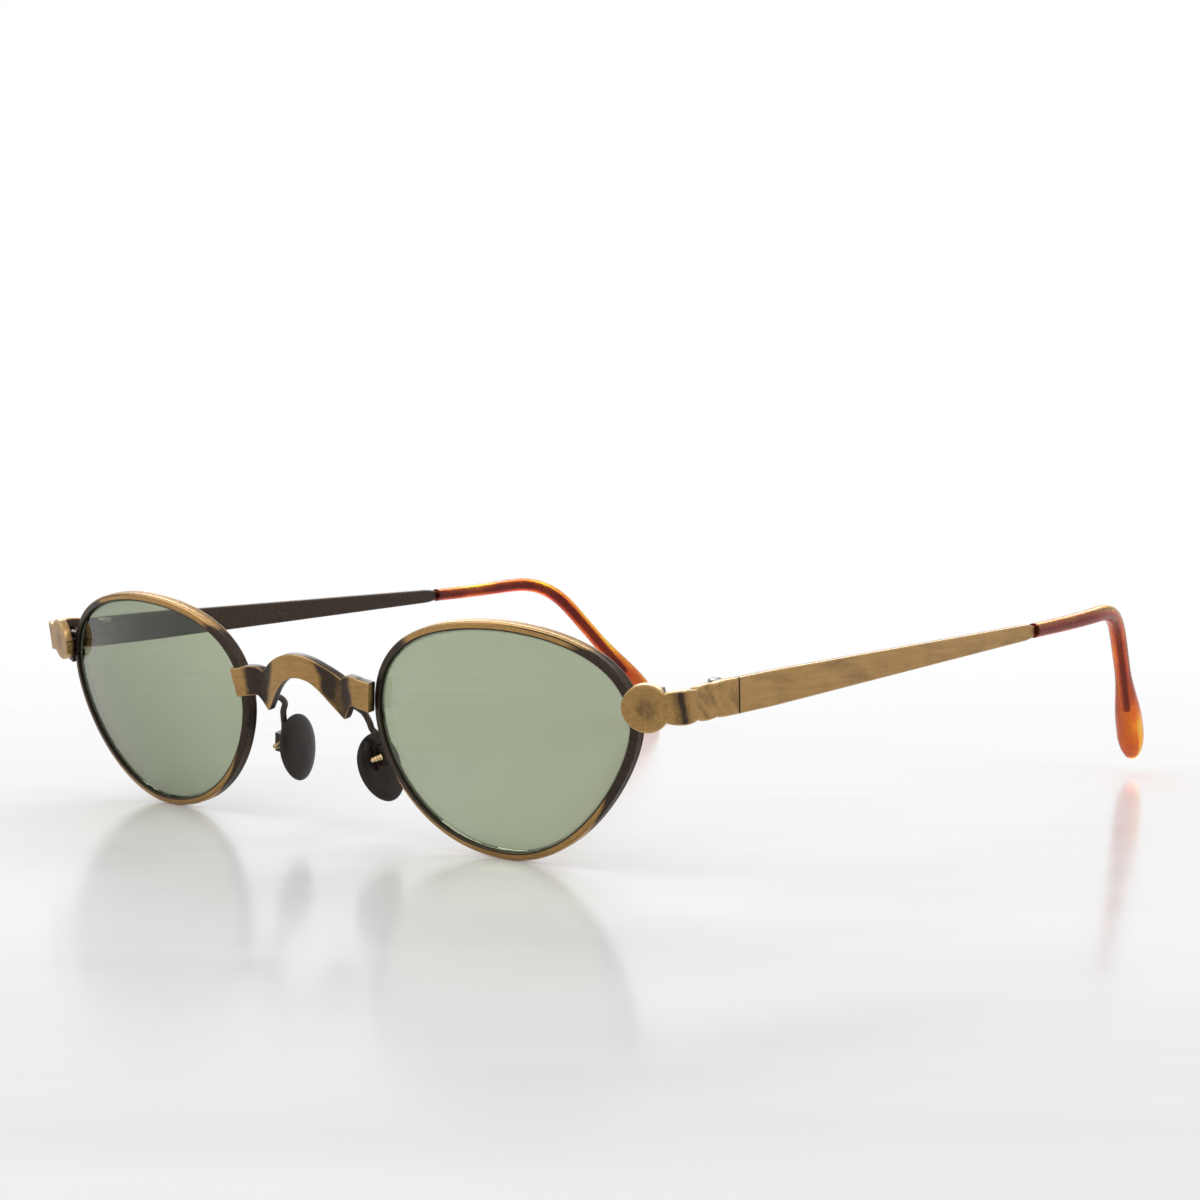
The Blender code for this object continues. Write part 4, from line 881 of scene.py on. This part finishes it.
def make_tip(side, place, look):
    """The plastic sleeve over the core wire, bored from its front end."""
    frames = tip_frames(TIP_FRAMES, TIP_LENGTH)
    bore = CORE_LENGTH + CORE_END_GAP
    rings, marks = [], []

    def add_ring(distance, width, height, squareness, mark):
        point, outward, up, _ = frames[round(distance / TIP_LENGTH * TIP_FRAMES)]
        rings.append(oval(point + tip_start(), outward, up, width, height, TIP_ROUND, squareness))
        marks.append(mark)

    for index in range(CORE_STATIONS, -1, -1):
        add_ring(bore * index / CORE_STATIONS, CORE_WIDTH + 2 * SEAT_GAP, CORE_HEIGHT + 2 * SEAT_GAP, 1.0,
                 [(1.0 if index < 2 else 0.0, 0.0)] * TIP_ROUND)
    for distance in sleeve_distances():
        add_ring(distance, *sleeve_size(distance), 0.92,
                 [tip_marks(distance, index) for index in range(TIP_ROUND)])
    finish_side(side, "temple_tip", "sleeve", loft(rings, marks), place @ mirror(side),
                f"temple_{side_name(side)}", look, 60.0)


# How far the tip's dark mouth, its paddle's start and its yellow patch take to fade in
MOUTH_FADE = 0.4 * MM
PADDLE_FADE = 8 * MM
PATCH_FADE = 10 * MM


def tip_marks(distance, index):
    """Dark round the mouth, yellow along the top and on one side of the paddle, and red on its other side;
    the yellow along the top, and a little along the bottom, is painted light passing through the plastic's
    edges.
    """
    angle = 2 * math.pi * index / TIP_ROUND
    height, side = math.sin(angle), math.cos(angle)
    mouth = 1.0 - smooth(distance / MOUTH_FADE)
    # The yellow along the top, and a little along the bottom, is painted light passing through the plastic's
    # edges
    edge = smooth((height + 0.05) / 0.75) + 0.3 * smooth((-0.7 - height) / 0.3)
    paddle = smooth((distance - PADDLE_START) / PADDLE_FADE)
    facing = 0.87 * side + 0.49 * height
    patch = smooth((distance - PADDLE_START - PADDLE_FADE) / PATCH_FADE) * smooth((facing - 0.05) / 0.4)
    return max(mouth, 0.5 * paddle * smooth((0.1 - facing) / 0.5)), min(1.0, max(0.7 * edge, patch))


# Nose pads

def pad_matrix(side):
    """The pad screw's frame in the front frame: X away from the nose, Y back, Z up the pad."""
    return mirror(side) @ Matrix.Translation(PAD_SCREW) @ pad_turn()


def make_pad(side, front, look):
    """A softly domed pad with a flat back that its mount is set in."""
    pad_x = -STUD_REACH - MOUNT_THICKNESS - PAD_FLAT - MOUNT_CLEARANCE
    middle = Vector((pad_x, PAD_OFFSET_BACK, -PAD_OFFSET_DOWN - side * PAD_SKEW))
    tilt = Matrix.Rotation(PAD_TILT, 3, "X")
    made = bmesh.new()
    bmesh.ops.create_uvsphere(made, u_segments=48, v_segments=32, radius=1.0)
    for vertex in made.verts:
        x, y, z = vertex.co
        bulge = PAD_THICKNESS / 2 * (1.0 - 0.18 * (y * y + z * z) ** 2)
        reach = x * bulge
        flat = PAD_FLAT * math.tanh(reach / PAD_FLAT * 1.25) if reach > 0 else reach
        half_width = (1 + PAD_TAPER * z) * PAD_WIDTH / 2
        vertex.co = middle + tilt @ Vector((flat, y * half_width, z * PAD_LENGTH / 2))
    for label in ("patina", "wear_and_highlight"):
        made.verts.layers.float.new(label)
    rest = RIGHT_PAD_ROCK if side == RIGHT else 0.0
    place = front @ pad_matrix(side) @ Matrix.Rotation(rest, 4, "Y")
    finish_side(side, "nose_pad", "moulding", made, place, f"pad_{side_name(side)}",
                look, 50.0)


def arm_path():
    """The left pad arm's middle line: out of the bridge's back, round and down to the pad box."""
    root_x, root_z = ARM_ROOT
    root = Vector((root_x, bridge_face(root_x) + BRIDGE_THICKNESS + SEAT_GAP, root_z))
    seat = pad_matrix(LEFT) @ Vector((ARM_SEAT, 0.0, BOX_HEIGHT / 2 + SEAT_GAP))
    above = pad_matrix(LEFT) @ Vector((ARM_SEAT, 0.0, BOX_HEIGHT / 2 + SEAT_GAP + ARM_FOOT))
    return [root] + [root + Vector(step) for step in ARM_RUN] + [above, seat]


def smooth_path(points, steps):
    """A smooth curve through points."""
    ends = [points[0] * 2 - points[1]] + points + [points[-1] * 2 - points[-2]]
    path = []
    for index in range(len(points) - 1):
        before, start, end, after = ends[index:index + 4]
        for step in range(steps):
            t = step / steps
            path.append(0.5 * (2 * start + (end - before) * t
                               + (2 * before - 5 * start + 4 * end - after) * t ** 2
                               + (3 * start - before - 3 * end + after) * t ** 3))
    return path + [points[-1]]


def make_arm(side, front, look):
    path = smooth_path(arm_path(), 16)
    rings = []
    across = Vector((1.0, 0.0, 0.0))
    for index, point in enumerate(path):
        along = (path[min(index + 1, len(path) - 1)] - path[max(index - 1, 0)]).normalized()
        across = (across - along * across.dot(along)).normalized()
        end = min(index, len(path) - 1 - index) / 2
        size = 2 * ARM_RADIUS * (0.85 + 0.15 * min(1.0, end))
        rings.append(oval(point, across, along.cross(across), size, size, ARM_ROUND))
    marks = [[(1.0, 0.0)] * ARM_ROUND] * len(rings)
    finish_side(side, "pad_arm", "wire", loft(rings, marks), front @ mirror(side), "front",
                look, 50.0)


# Materials

class Nodes:
    """A short way to add and link the nodes of one material or world."""

    def __init__(self, owner):
        self.owner = owner
        owner.use_nodes = True
        self.tree = owner.node_tree
        self.shader = self.tree.nodes.get("Principled BSDF")

    def put(self, socket, value):
        """Links a socket to a value that is an output, or sets it to a number or colour."""
        if isinstance(value, bpy.types.NodeSocket):
            self.tree.links.new(value, socket)
        elif socket.type == "RGBA" and len(value) == 3:
            socket.default_value = (*value, 1.0)
        else:
            socket.default_value = value

    def add(self, kind, inputs=None, **settings):
        node = self.tree.nodes.new(kind)
        for key, value in settings.items():
            setattr(node, key, value)
        for key, value in (inputs or {}).items():
            self.put(node.inputs[key], value)
        return node

    def noise(self, scale, detail=3.0, stretch=(1, 1, 1), offset=(0, 0, 0)):
        """Noise in object metres: scale is in cycles per metre, stretch slows an axis down."""
        place = self.add("ShaderNodeTexCoord")
        mapped = self.add("ShaderNodeMapping", {"Vector": place.outputs["Object"], "Scale": stretch,
                                                "Location": offset})
        noisy = {"Vector": mapped.outputs[0], "Scale": scale, "Detail": detail}
        return self.add("ShaderNodeTexNoise", noisy).outputs["Fac"]

    def place(self):
        """The three coordinates of a point of the surface, in object metres."""
        place = self.add("ShaderNodeTexCoord").outputs["Object"]
        return self.add("ShaderNodeSeparateXYZ", {"Vector": place}).outputs

    def ramp(self, value, stops):
        """A colour ramp; stops are (place, colour) pairs."""
        made = self.add("ShaderNodeValToRGB", {"Fac": value})
        elements = made.color_ramp.elements
        while len(elements) < len(stops):
            elements.new(1.0)
        for element, (place, colour) in zip(elements, stops):
            element.position = place
            element.color = (*colour, 1.0)
        return made.outputs["Color"]

    def span(self, value, low, high, to_low=0.0, to_high=1.0):
        """Maps a value's span to another, held at its ends."""
        made = self.add("ShaderNodeMapRange", {"Value": value, "From Min": low, "From Max": high,
                                               "To Min": to_low, "To Max": to_high})
        return made.outputs["Result"]

    def spread(self, value, to_low=0.0, to_high=1.0):
        """Maps the range that a noise mostly stays in to another."""
        return self.span(value, 0.3, 0.7, to_low, to_high)

    def math(self, operation, first, second, clamp=False):
        made = self.add("ShaderNodeMath", {0: first, 1: second}, operation=operation)
        made.use_clamp = clamp
        return made.outputs[0]

    def mix(self, factor, first, second):
        """A colour between two; 0, 6 and 7 are the colour inputs of a mix node, and 2 its colour output."""
        return self.add("ShaderNodeMix", {0: factor, 6: first, 7: second}, data_type="RGBA").outputs[2]

    def attribute(self, name):
        return self.add("ShaderNodeAttribute", attribute_name=name).outputs["Fac"]

    def bump(self, height, distance, strength):
        made = self.add("ShaderNodeBump", {"Height": height, "Distance": distance, "Strength": strength})
        self.feed("Normal", made.outputs[0])

    def feed(self, socket, value):
        self.put(self.shader.inputs[socket], value)

    def light_shadow(self, colour, share=1.0):
        """Lets coloured light through into the shadow, for a share of the shadow's rays."""
        clear = self.add("ShaderNodeBsdfTransparent", {"Color": colour})
        rays = self.add("ShaderNodeLightPath").outputs["Is Shadow Ray"]
        if share < 1.0:
            rays = self.math("MULTIPLY", rays, share)
        shaders = {0: rays, 1: self.shader.outputs[0], 2: clear.outputs[0]}
        mixed = self.add("ShaderNodeMixShader", shaders)
        self.put(self.tree.nodes["Material Output"].inputs["Surface"], mixed.outputs[0])


def surface(name):
    """The nodes of a new material."""
    return Nodes(bpy.data.materials.new(name))


BRASS_LIGHT = (0.45, 0.268, 0.100)
BRASS_DEEP = (0.200, 0.108, 0.038)
# Pale rubbed brass for worn edges, which also paints their highlight
BRASS_WORN_AND_HIGHLIGHT = (0.60, 0.42, 0.22)
PATINA_WARM = (0.060, 0.043, 0.032)
PATINA_BLACK = (0.036, 0.025, 0.019)


def antique_brass(name, brush, brush_scale, pits=0.0):
    """Burnished brass that goes over into dark patina where the patina value says, with fine scratches; where
    the wear value says, its edges are paler and smoother, which is rubbed wear with a painted highlight.
    """
    look = surface(name)
    cloud = look.noise(520.0, 4.0)
    grain = look.noise(brush_scale, 4.0, brush)
    speckle = look.noise(2300.0, 5.0, offset=(0.3, 0.1, 0.2))
    patina = look.attribute("patina")
    broken = look.math("ADD", patina, look.spread(cloud, -0.10, 0.10))
    broken = look.math("ADD", broken, look.spread(speckle, -0.07, 0.07))
    dark = look.span(broken, 0.12, 0.86)
    # The wear value is rubbed wear and a painted highlight: it lifts the patina on edges and paints pale,
    # smoother brass there
    wear_and_highlight = look.attribute("wear_and_highlight")
    wear_highlight_share = look.math("MULTIPLY", wear_and_highlight, 0.5)
    lightened = look.math("MULTIPLY", wear_highlight_share, look.span(dark, 0.0, 0.9, 1.0, 0.0))
    dark = look.math("SUBTRACT", dark, lightened, True)
    brass = look.mix(look.span(grain, 0.25, 0.75, 0.3, 0.95), BRASS_DEEP, BRASS_LIGHT)
    brass = look.mix(look.span(cloud, 0.3, 0.75, 0.0, 0.5), brass, BRASS_LIGHT)
    brass = look.mix(wear_highlight_share, brass, BRASS_WORN_AND_HIGHLIGHT)
    if pits:
        pit = look.span(look.noise(620.0, 5.0, (1.0, 0.2, 1.0), (0.7, 0.2, 0.9)), 0.52, 0.8, 0.0, pits)
        brass = look.mix(pit, brass, (0.13, 0.078, 0.036))
    shade = look.mix(look.spread(speckle), PATINA_BLACK, PATINA_WARM)
    look.feed("Base Color", look.mix(dark, brass, shade))
    look.feed("Metallic", look.span(dark, 0.0, 1.0, 1.0, 0.9))
    rough = look.math("ADD", look.span(grain, 0.2, 0.8, 0.30, 0.44), look.span(dark, 0.0, 1.0, 0.0, 0.04))
    look.feed("Roughness", look.math("SUBTRACT", rough, look.math("MULTIPLY", wear_and_highlight, 0.22)))
    look.bump(look.math("ADD", grain, look.math("MULTIPLY", speckle, 0.8)), 0.00002, 0.4)
    return look.owner


def dark_patina(name):
    """The near-black finish of the small hardware, rubbed a little where the noise is high."""
    look = surface(name)
    cloud = look.noise(900.0, 4.0)
    grain = look.noise(4200.0, 3.0)
    lightened = look.span(look.noise(1500.0, 5.0, offset=(0.5, 0.4, 0.1)), 0.58, 0.72, 0.0, 0.5)
    colour = look.mix(look.spread(cloud), PATINA_BLACK, PATINA_WARM)
    look.feed("Base Color", look.mix(lightened, colour, (0.10, 0.068, 0.04)))
    look.feed("Metallic", 0.6)
    look.feed("Roughness", look.span(grain, 0.25, 0.75, 0.34, 0.52))
    look.bump(grain, 0.00002, 0.4)
    return look.owner


def screw_metal(name, deep, light, dirty):
    """A bright screw, with turning marks and a little dirt."""
    look = surface(name)
    grain = look.noise(3600.0, 2.0)
    dirt = look.span(look.noise(1700.0, 4.0), 0.48, 0.66, 0.0, dirty)
    metal = look.mix(look.spread(grain), deep, light)
    look.feed("Base Color", look.mix(dirt, metal, (0.05, 0.036, 0.026)))
    look.feed("Metallic", 1.0)
    look.feed("Roughness", look.span(grain, 0.2, 0.8, 0.16, 0.32))
    look.bump(grain, 0.00001, 0.4)
    return look.owner


def tinted_glass(name):
    """Grey-green sun lens: its tint is a little paler at the bottom and deeper across the right lens, where
    the deeper tint and a darker lower part are painted shade; the marked edge is painted dark, also painted
    shade.
    """
    look = surface(name)
    place = look.place()
    side, height = place["X"], place["Z"]
    cloud = look.noise(60.0, 2.0)
    level = look.math("ADD", look.span(height, 0.0, 0.032), look.spread(cloud, -0.12, 0.12))
    tint = look.ramp(level, ((0.0, (0.392, 0.440, 0.308)), (0.55, (0.352, 0.398, 0.272)),
                             (1.0, (0.338, 0.382, 0.258))))
    smear = look.noise(340.0, 4.0, (1.0, 1.0, 0.6))
    # The right lens is painted darker across, and more at its lower part: painted shade
    right_lens_painted_shade = look.span(side, -0.020, -0.052, 0.0, 0.42)
    lower = look.math("MULTIPLY", look.span(height, 0.024, 0.0, 0.0, 0.26), look.span(side, 0.0, -0.01))
    tint = look.mix(look.math("ADD", right_lens_painted_shade, lower), tint, (0.03, 0.035, 0.012))
    # The marked edge is painted dark: painted shade
    tint = look.mix(look.math("MULTIPLY", look.attribute("patina"), 0.75), tint, (0.05, 0.06, 0.04))
    look.feed("Base Color", tint)
    look.feed("Transmission Weight", 1.0)
    look.feed("IOR", 1.5)
    look.feed("Roughness", look.span(smear, 0.45, 0.75, 0.0, 0.03))
    look.light_shadow((0.46, 0.51, 0.39))
    return look.owner


def tortoise_plastic(name):
    """Translucent mottled plastic: deep red where the wear-and-highlight value is low and yellow where it is
    high; along the tips' top that yellow is painted light.
    """
    look = surface(name)
    cloud = look.noise(150.0, 3.0, (1.0, 0.8, 0.5))
    fleck = look.noise(420.0, 4.0, (1.0, 1.0, 0.5), (0.2, 0.6, 0.4))
    amber = look.math("ADD", look.attribute("wear_and_highlight"), look.span(cloud, 0.32, 0.68, -0.32, 0.32))
    amber = look.math("ADD", amber, look.spread(fleck, -0.08, 0.08))
    tint = look.ramp(amber, ((0.0, (0.50, 0.040, 0.010)), (0.30, (0.80, 0.120, 0.012)),
                             (0.60, (1.0, 0.34, 0.012)), (0.95, (1.0, 0.70, 0.030))))
    look.feed("Base Color", look.mix(look.attribute("patina"), tint, (0.12, 0.016, 0.008)))
    look.feed("Transmission Weight", 0.84)
    look.feed("Subsurface Weight", 0.3)
    look.feed("Subsurface Radius", (1.0, 0.3, 0.1))
    look.feed("Subsurface Scale", 0.0012)
    look.feed("IOR", 1.32)
    look.feed("Roughness", look.spread(fleck, 0.18, 0.3))
    look.feed("Specular IOR Level", 0.15)
    look.bump(look.noise(900.0, 2.0), 0.00002, 0.25)
    look.light_shadow((0.95, 0.55, 0.22), 0.7)
    return look.owner


def pad_plastic(name):
    """Dark brown satin pad, slightly hazed by use."""
    look = surface(name)
    cloud = look.noise(330.0, 4.0)
    grain = look.noise(2400.0, 3.0)
    brown = look.mix(look.spread(cloud), (0.013, 0.009, 0.008), (0.030, 0.021, 0.017))
    look.feed("Base Color", brown)
    look.feed("Roughness", look.span(grain, 0.25, 0.75, 0.28, 0.44))
    look.feed("Specular IOR Level", 0.25)
    look.bump(look.math("ADD", cloud, look.math("MULTIPLY", grain, 0.25)), 0.00008, 0.6)
    return look.owner


# Surroundings

def make_floor(front):
    """A pale, slightly glossy table top, square to the camera, that fades out far behind and in front, and
    whose colour is painted darker towards the front as painted shade.
    """
    reach, near, far = 1.5, -1.0, 0.36
    corners = [(-reach, near, 0), (reach, near, 0), (reach, far, 0), (-reach, far, 0)]
    mesh = bpy.data.meshes.new("table_top")
    mesh.from_pydata(corners, [], [(0, 1, 2, 3)])
    floor = bpy.data.objects.new("table_top", mesh)
    floor.rotation_euler.z = CAMERA_AZIMUTH
    floor.location = (front.translation.x, front.translation.y, 0)
    bpy.context.collection.objects.link(floor)
    look = surface("pale_table")
    haze = look.noise(14.0, 3.0)
    streak = look.noise(90.0, 3.0, (0.12, 1.0, 1.0))
    shade = look.math("ADD", look.spread(haze), look.spread(streak, -0.2, 0.2))
    ahead = look.place()["Y"]
    pale = look.mix(look.span(shade, -0.2, 1.2), (0.915, 0.917, 0.925), (0.94, 0.941, 0.95))
    # Painted shade: the table's colour darkens towards the front
    look.feed("Base Color", look.mix(look.span(ahead, -0.05, -0.17, 0.0, 0.9), pale, (0.76, 0.763, 0.77)))
    look.feed("Roughness", look.spread(streak, 0.14, 0.19))
    look.feed("IOR", 1.25)
    fade, gone, clear = 0.10, -0.6, -0.42
    far_fade = look.span(ahead, far - fade, far, 1.0, 0.0)
    near_fade = look.span(ahead, gone, clear)
    look.feed("Alpha", look.math("MULTIPLY", far_fade, near_fade))
    mesh.materials.append(look.owner)


def make_world():
    """White for the camera, in gloss and through glass, and plain soft light for everything else."""
    world = bpy.data.worlds.new("studio")
    bpy.context.scene.world = world
    look = Nodes(world)
    look.tree.nodes.clear()
    rays = look.add("ShaderNodeLightPath").outputs
    seen = look.math("MAXIMUM", rays["Is Camera Ray"], rays["Is Glossy Ray"])
    seen = look.math("MAXIMUM", seen, rays["Is Transmission Ray"])
    skies = [look.add("ShaderNodeBackground", {"Color": (1.0, 1.0, 1.0), "Strength": strength})
             for strength in (SOFT_SKY, WHITE_SKY)]
    mixed = look.add("ShaderNodeMixShader", {0: seen, 1: skies[0].outputs[0], 2: skies[1].outputs[0]})
    look.add("ShaderNodeOutputWorld", {"Surface": mixed.outputs[0]})


def make_lamps():
    for name, (place, size, power) in LAMPS.items():
        data = bpy.data.lights.new(name, "AREA")
        data.shape = "RECTANGLE"
        data.size, data.size_y = size
        data.energy = power
        lamp = bpy.data.objects.new(name, data)
        bpy.context.collection.objects.link(lamp)
        lamp.location = place
        lamp.rotation_euler = (LAMP_TARGET - Vector(place)).to_track_quat("-Z", "Y").to_euler()


def make_camera(front):
    """The photograph's camera, placed from the front frame's origin."""
    around, tilt, roll = CAMERA_AZIMUTH, CAMERA_ELEVATION, CAMERA_ROLL
    flat = math.cos(tilt)
    back = Vector((math.sin(around) * flat, -math.cos(around) * flat, math.sin(tilt)))
    level = Vector((math.cos(around), math.sin(around), 0.0))
    above = back.cross(level)
    right = level * math.cos(roll) + above * math.sin(roll)
    up = above * math.cos(roll) - level * math.sin(roll)
    data = bpy.data.cameras.new("camera")
    data.sensor_width = 36.0
    data.lens = CAMERA_LENS
    data.shift_y = CAMERA_SHIFT_DOWN
    data.clip_start = 0.005
    camera = bpy.data.objects.new("camera", data)
    bpy.context.collection.objects.link(camera)
    turn = Matrix((right, up, back)).transposed().to_4x4()
    camera.matrix_world = Matrix.Translation(front.translation + CAMERA_OFFSET) @ turn
    bpy.context.scene.camera = camera


def dress_solids(frame, looks):
    """Materials for the small hardware that keeps its solids."""
    kinds = {"patina": ("rim_lock", "hinge_front", "hinge_temple", "pad_box", "pad_mount"),
             "hinge_screw": ("hinge_screw",), "screw": ("pad_screw",)}
    for name, node in frame["nodes"].items():
        for look, starts in kinds.items():
            if name.startswith(starts):
                node.data.materials.clear()
                node.data.materials.append(looks[look])


def main():
    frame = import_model()
    front = front_matrix(frame)
    looks = {
        "rim": antique_brass("rim_brass_look", (1.0, 1.0, 1.0), 2600.0),
        "bridge": antique_brass("bridge_brass_look", (0.16, 1.0, 1.0), 2400.0),
        "plate": antique_brass("plate_brass_look", (1.0, 1.0, 1.0), 2100.0),
        "blade": antique_brass("blade_brass_look", (1.0, 0.10, 1.0), 1900.0, 0.55),
        "patina": dark_patina("hardware_patina_look"),
        "screw": screw_metal("pad_screw_look", (0.48, 0.31, 0.13), (0.85, 0.66, 0.40), 0.7),
        "hinge_screw": screw_metal("hinge_screw_look", (0.42, 0.40, 0.38), (0.9, 0.9, 0.92), 0.95),
        "glass": tinted_glass("lens_glass_look"),
        "tip": tortoise_plastic("tip_plastic_look"),
        "pad": pad_plastic("pad_plastic_look"),
    }
    make_bridge(front, looks["bridge"])
    for side in SIDES:
        temple = temple_matrix(frame, side)
        make_rim(side, front, looks["rim"])
        make_lens(side, front, looks["glass"])
        make_end_piece(side, front, looks["plate"])
        make_temple(side, temple, looks["blade"])
        make_tip(side, temple, looks["tip"])
        make_pad(side, front, looks["pad"])
        make_arm(side, front, looks["patina"])
    dress_solids(frame, looks)
    make_floor(front)
    make_world()
    make_lamps()
    make_camera(front)
    bpy.context.scene.view_settings.view_transform = "Standard"


main()
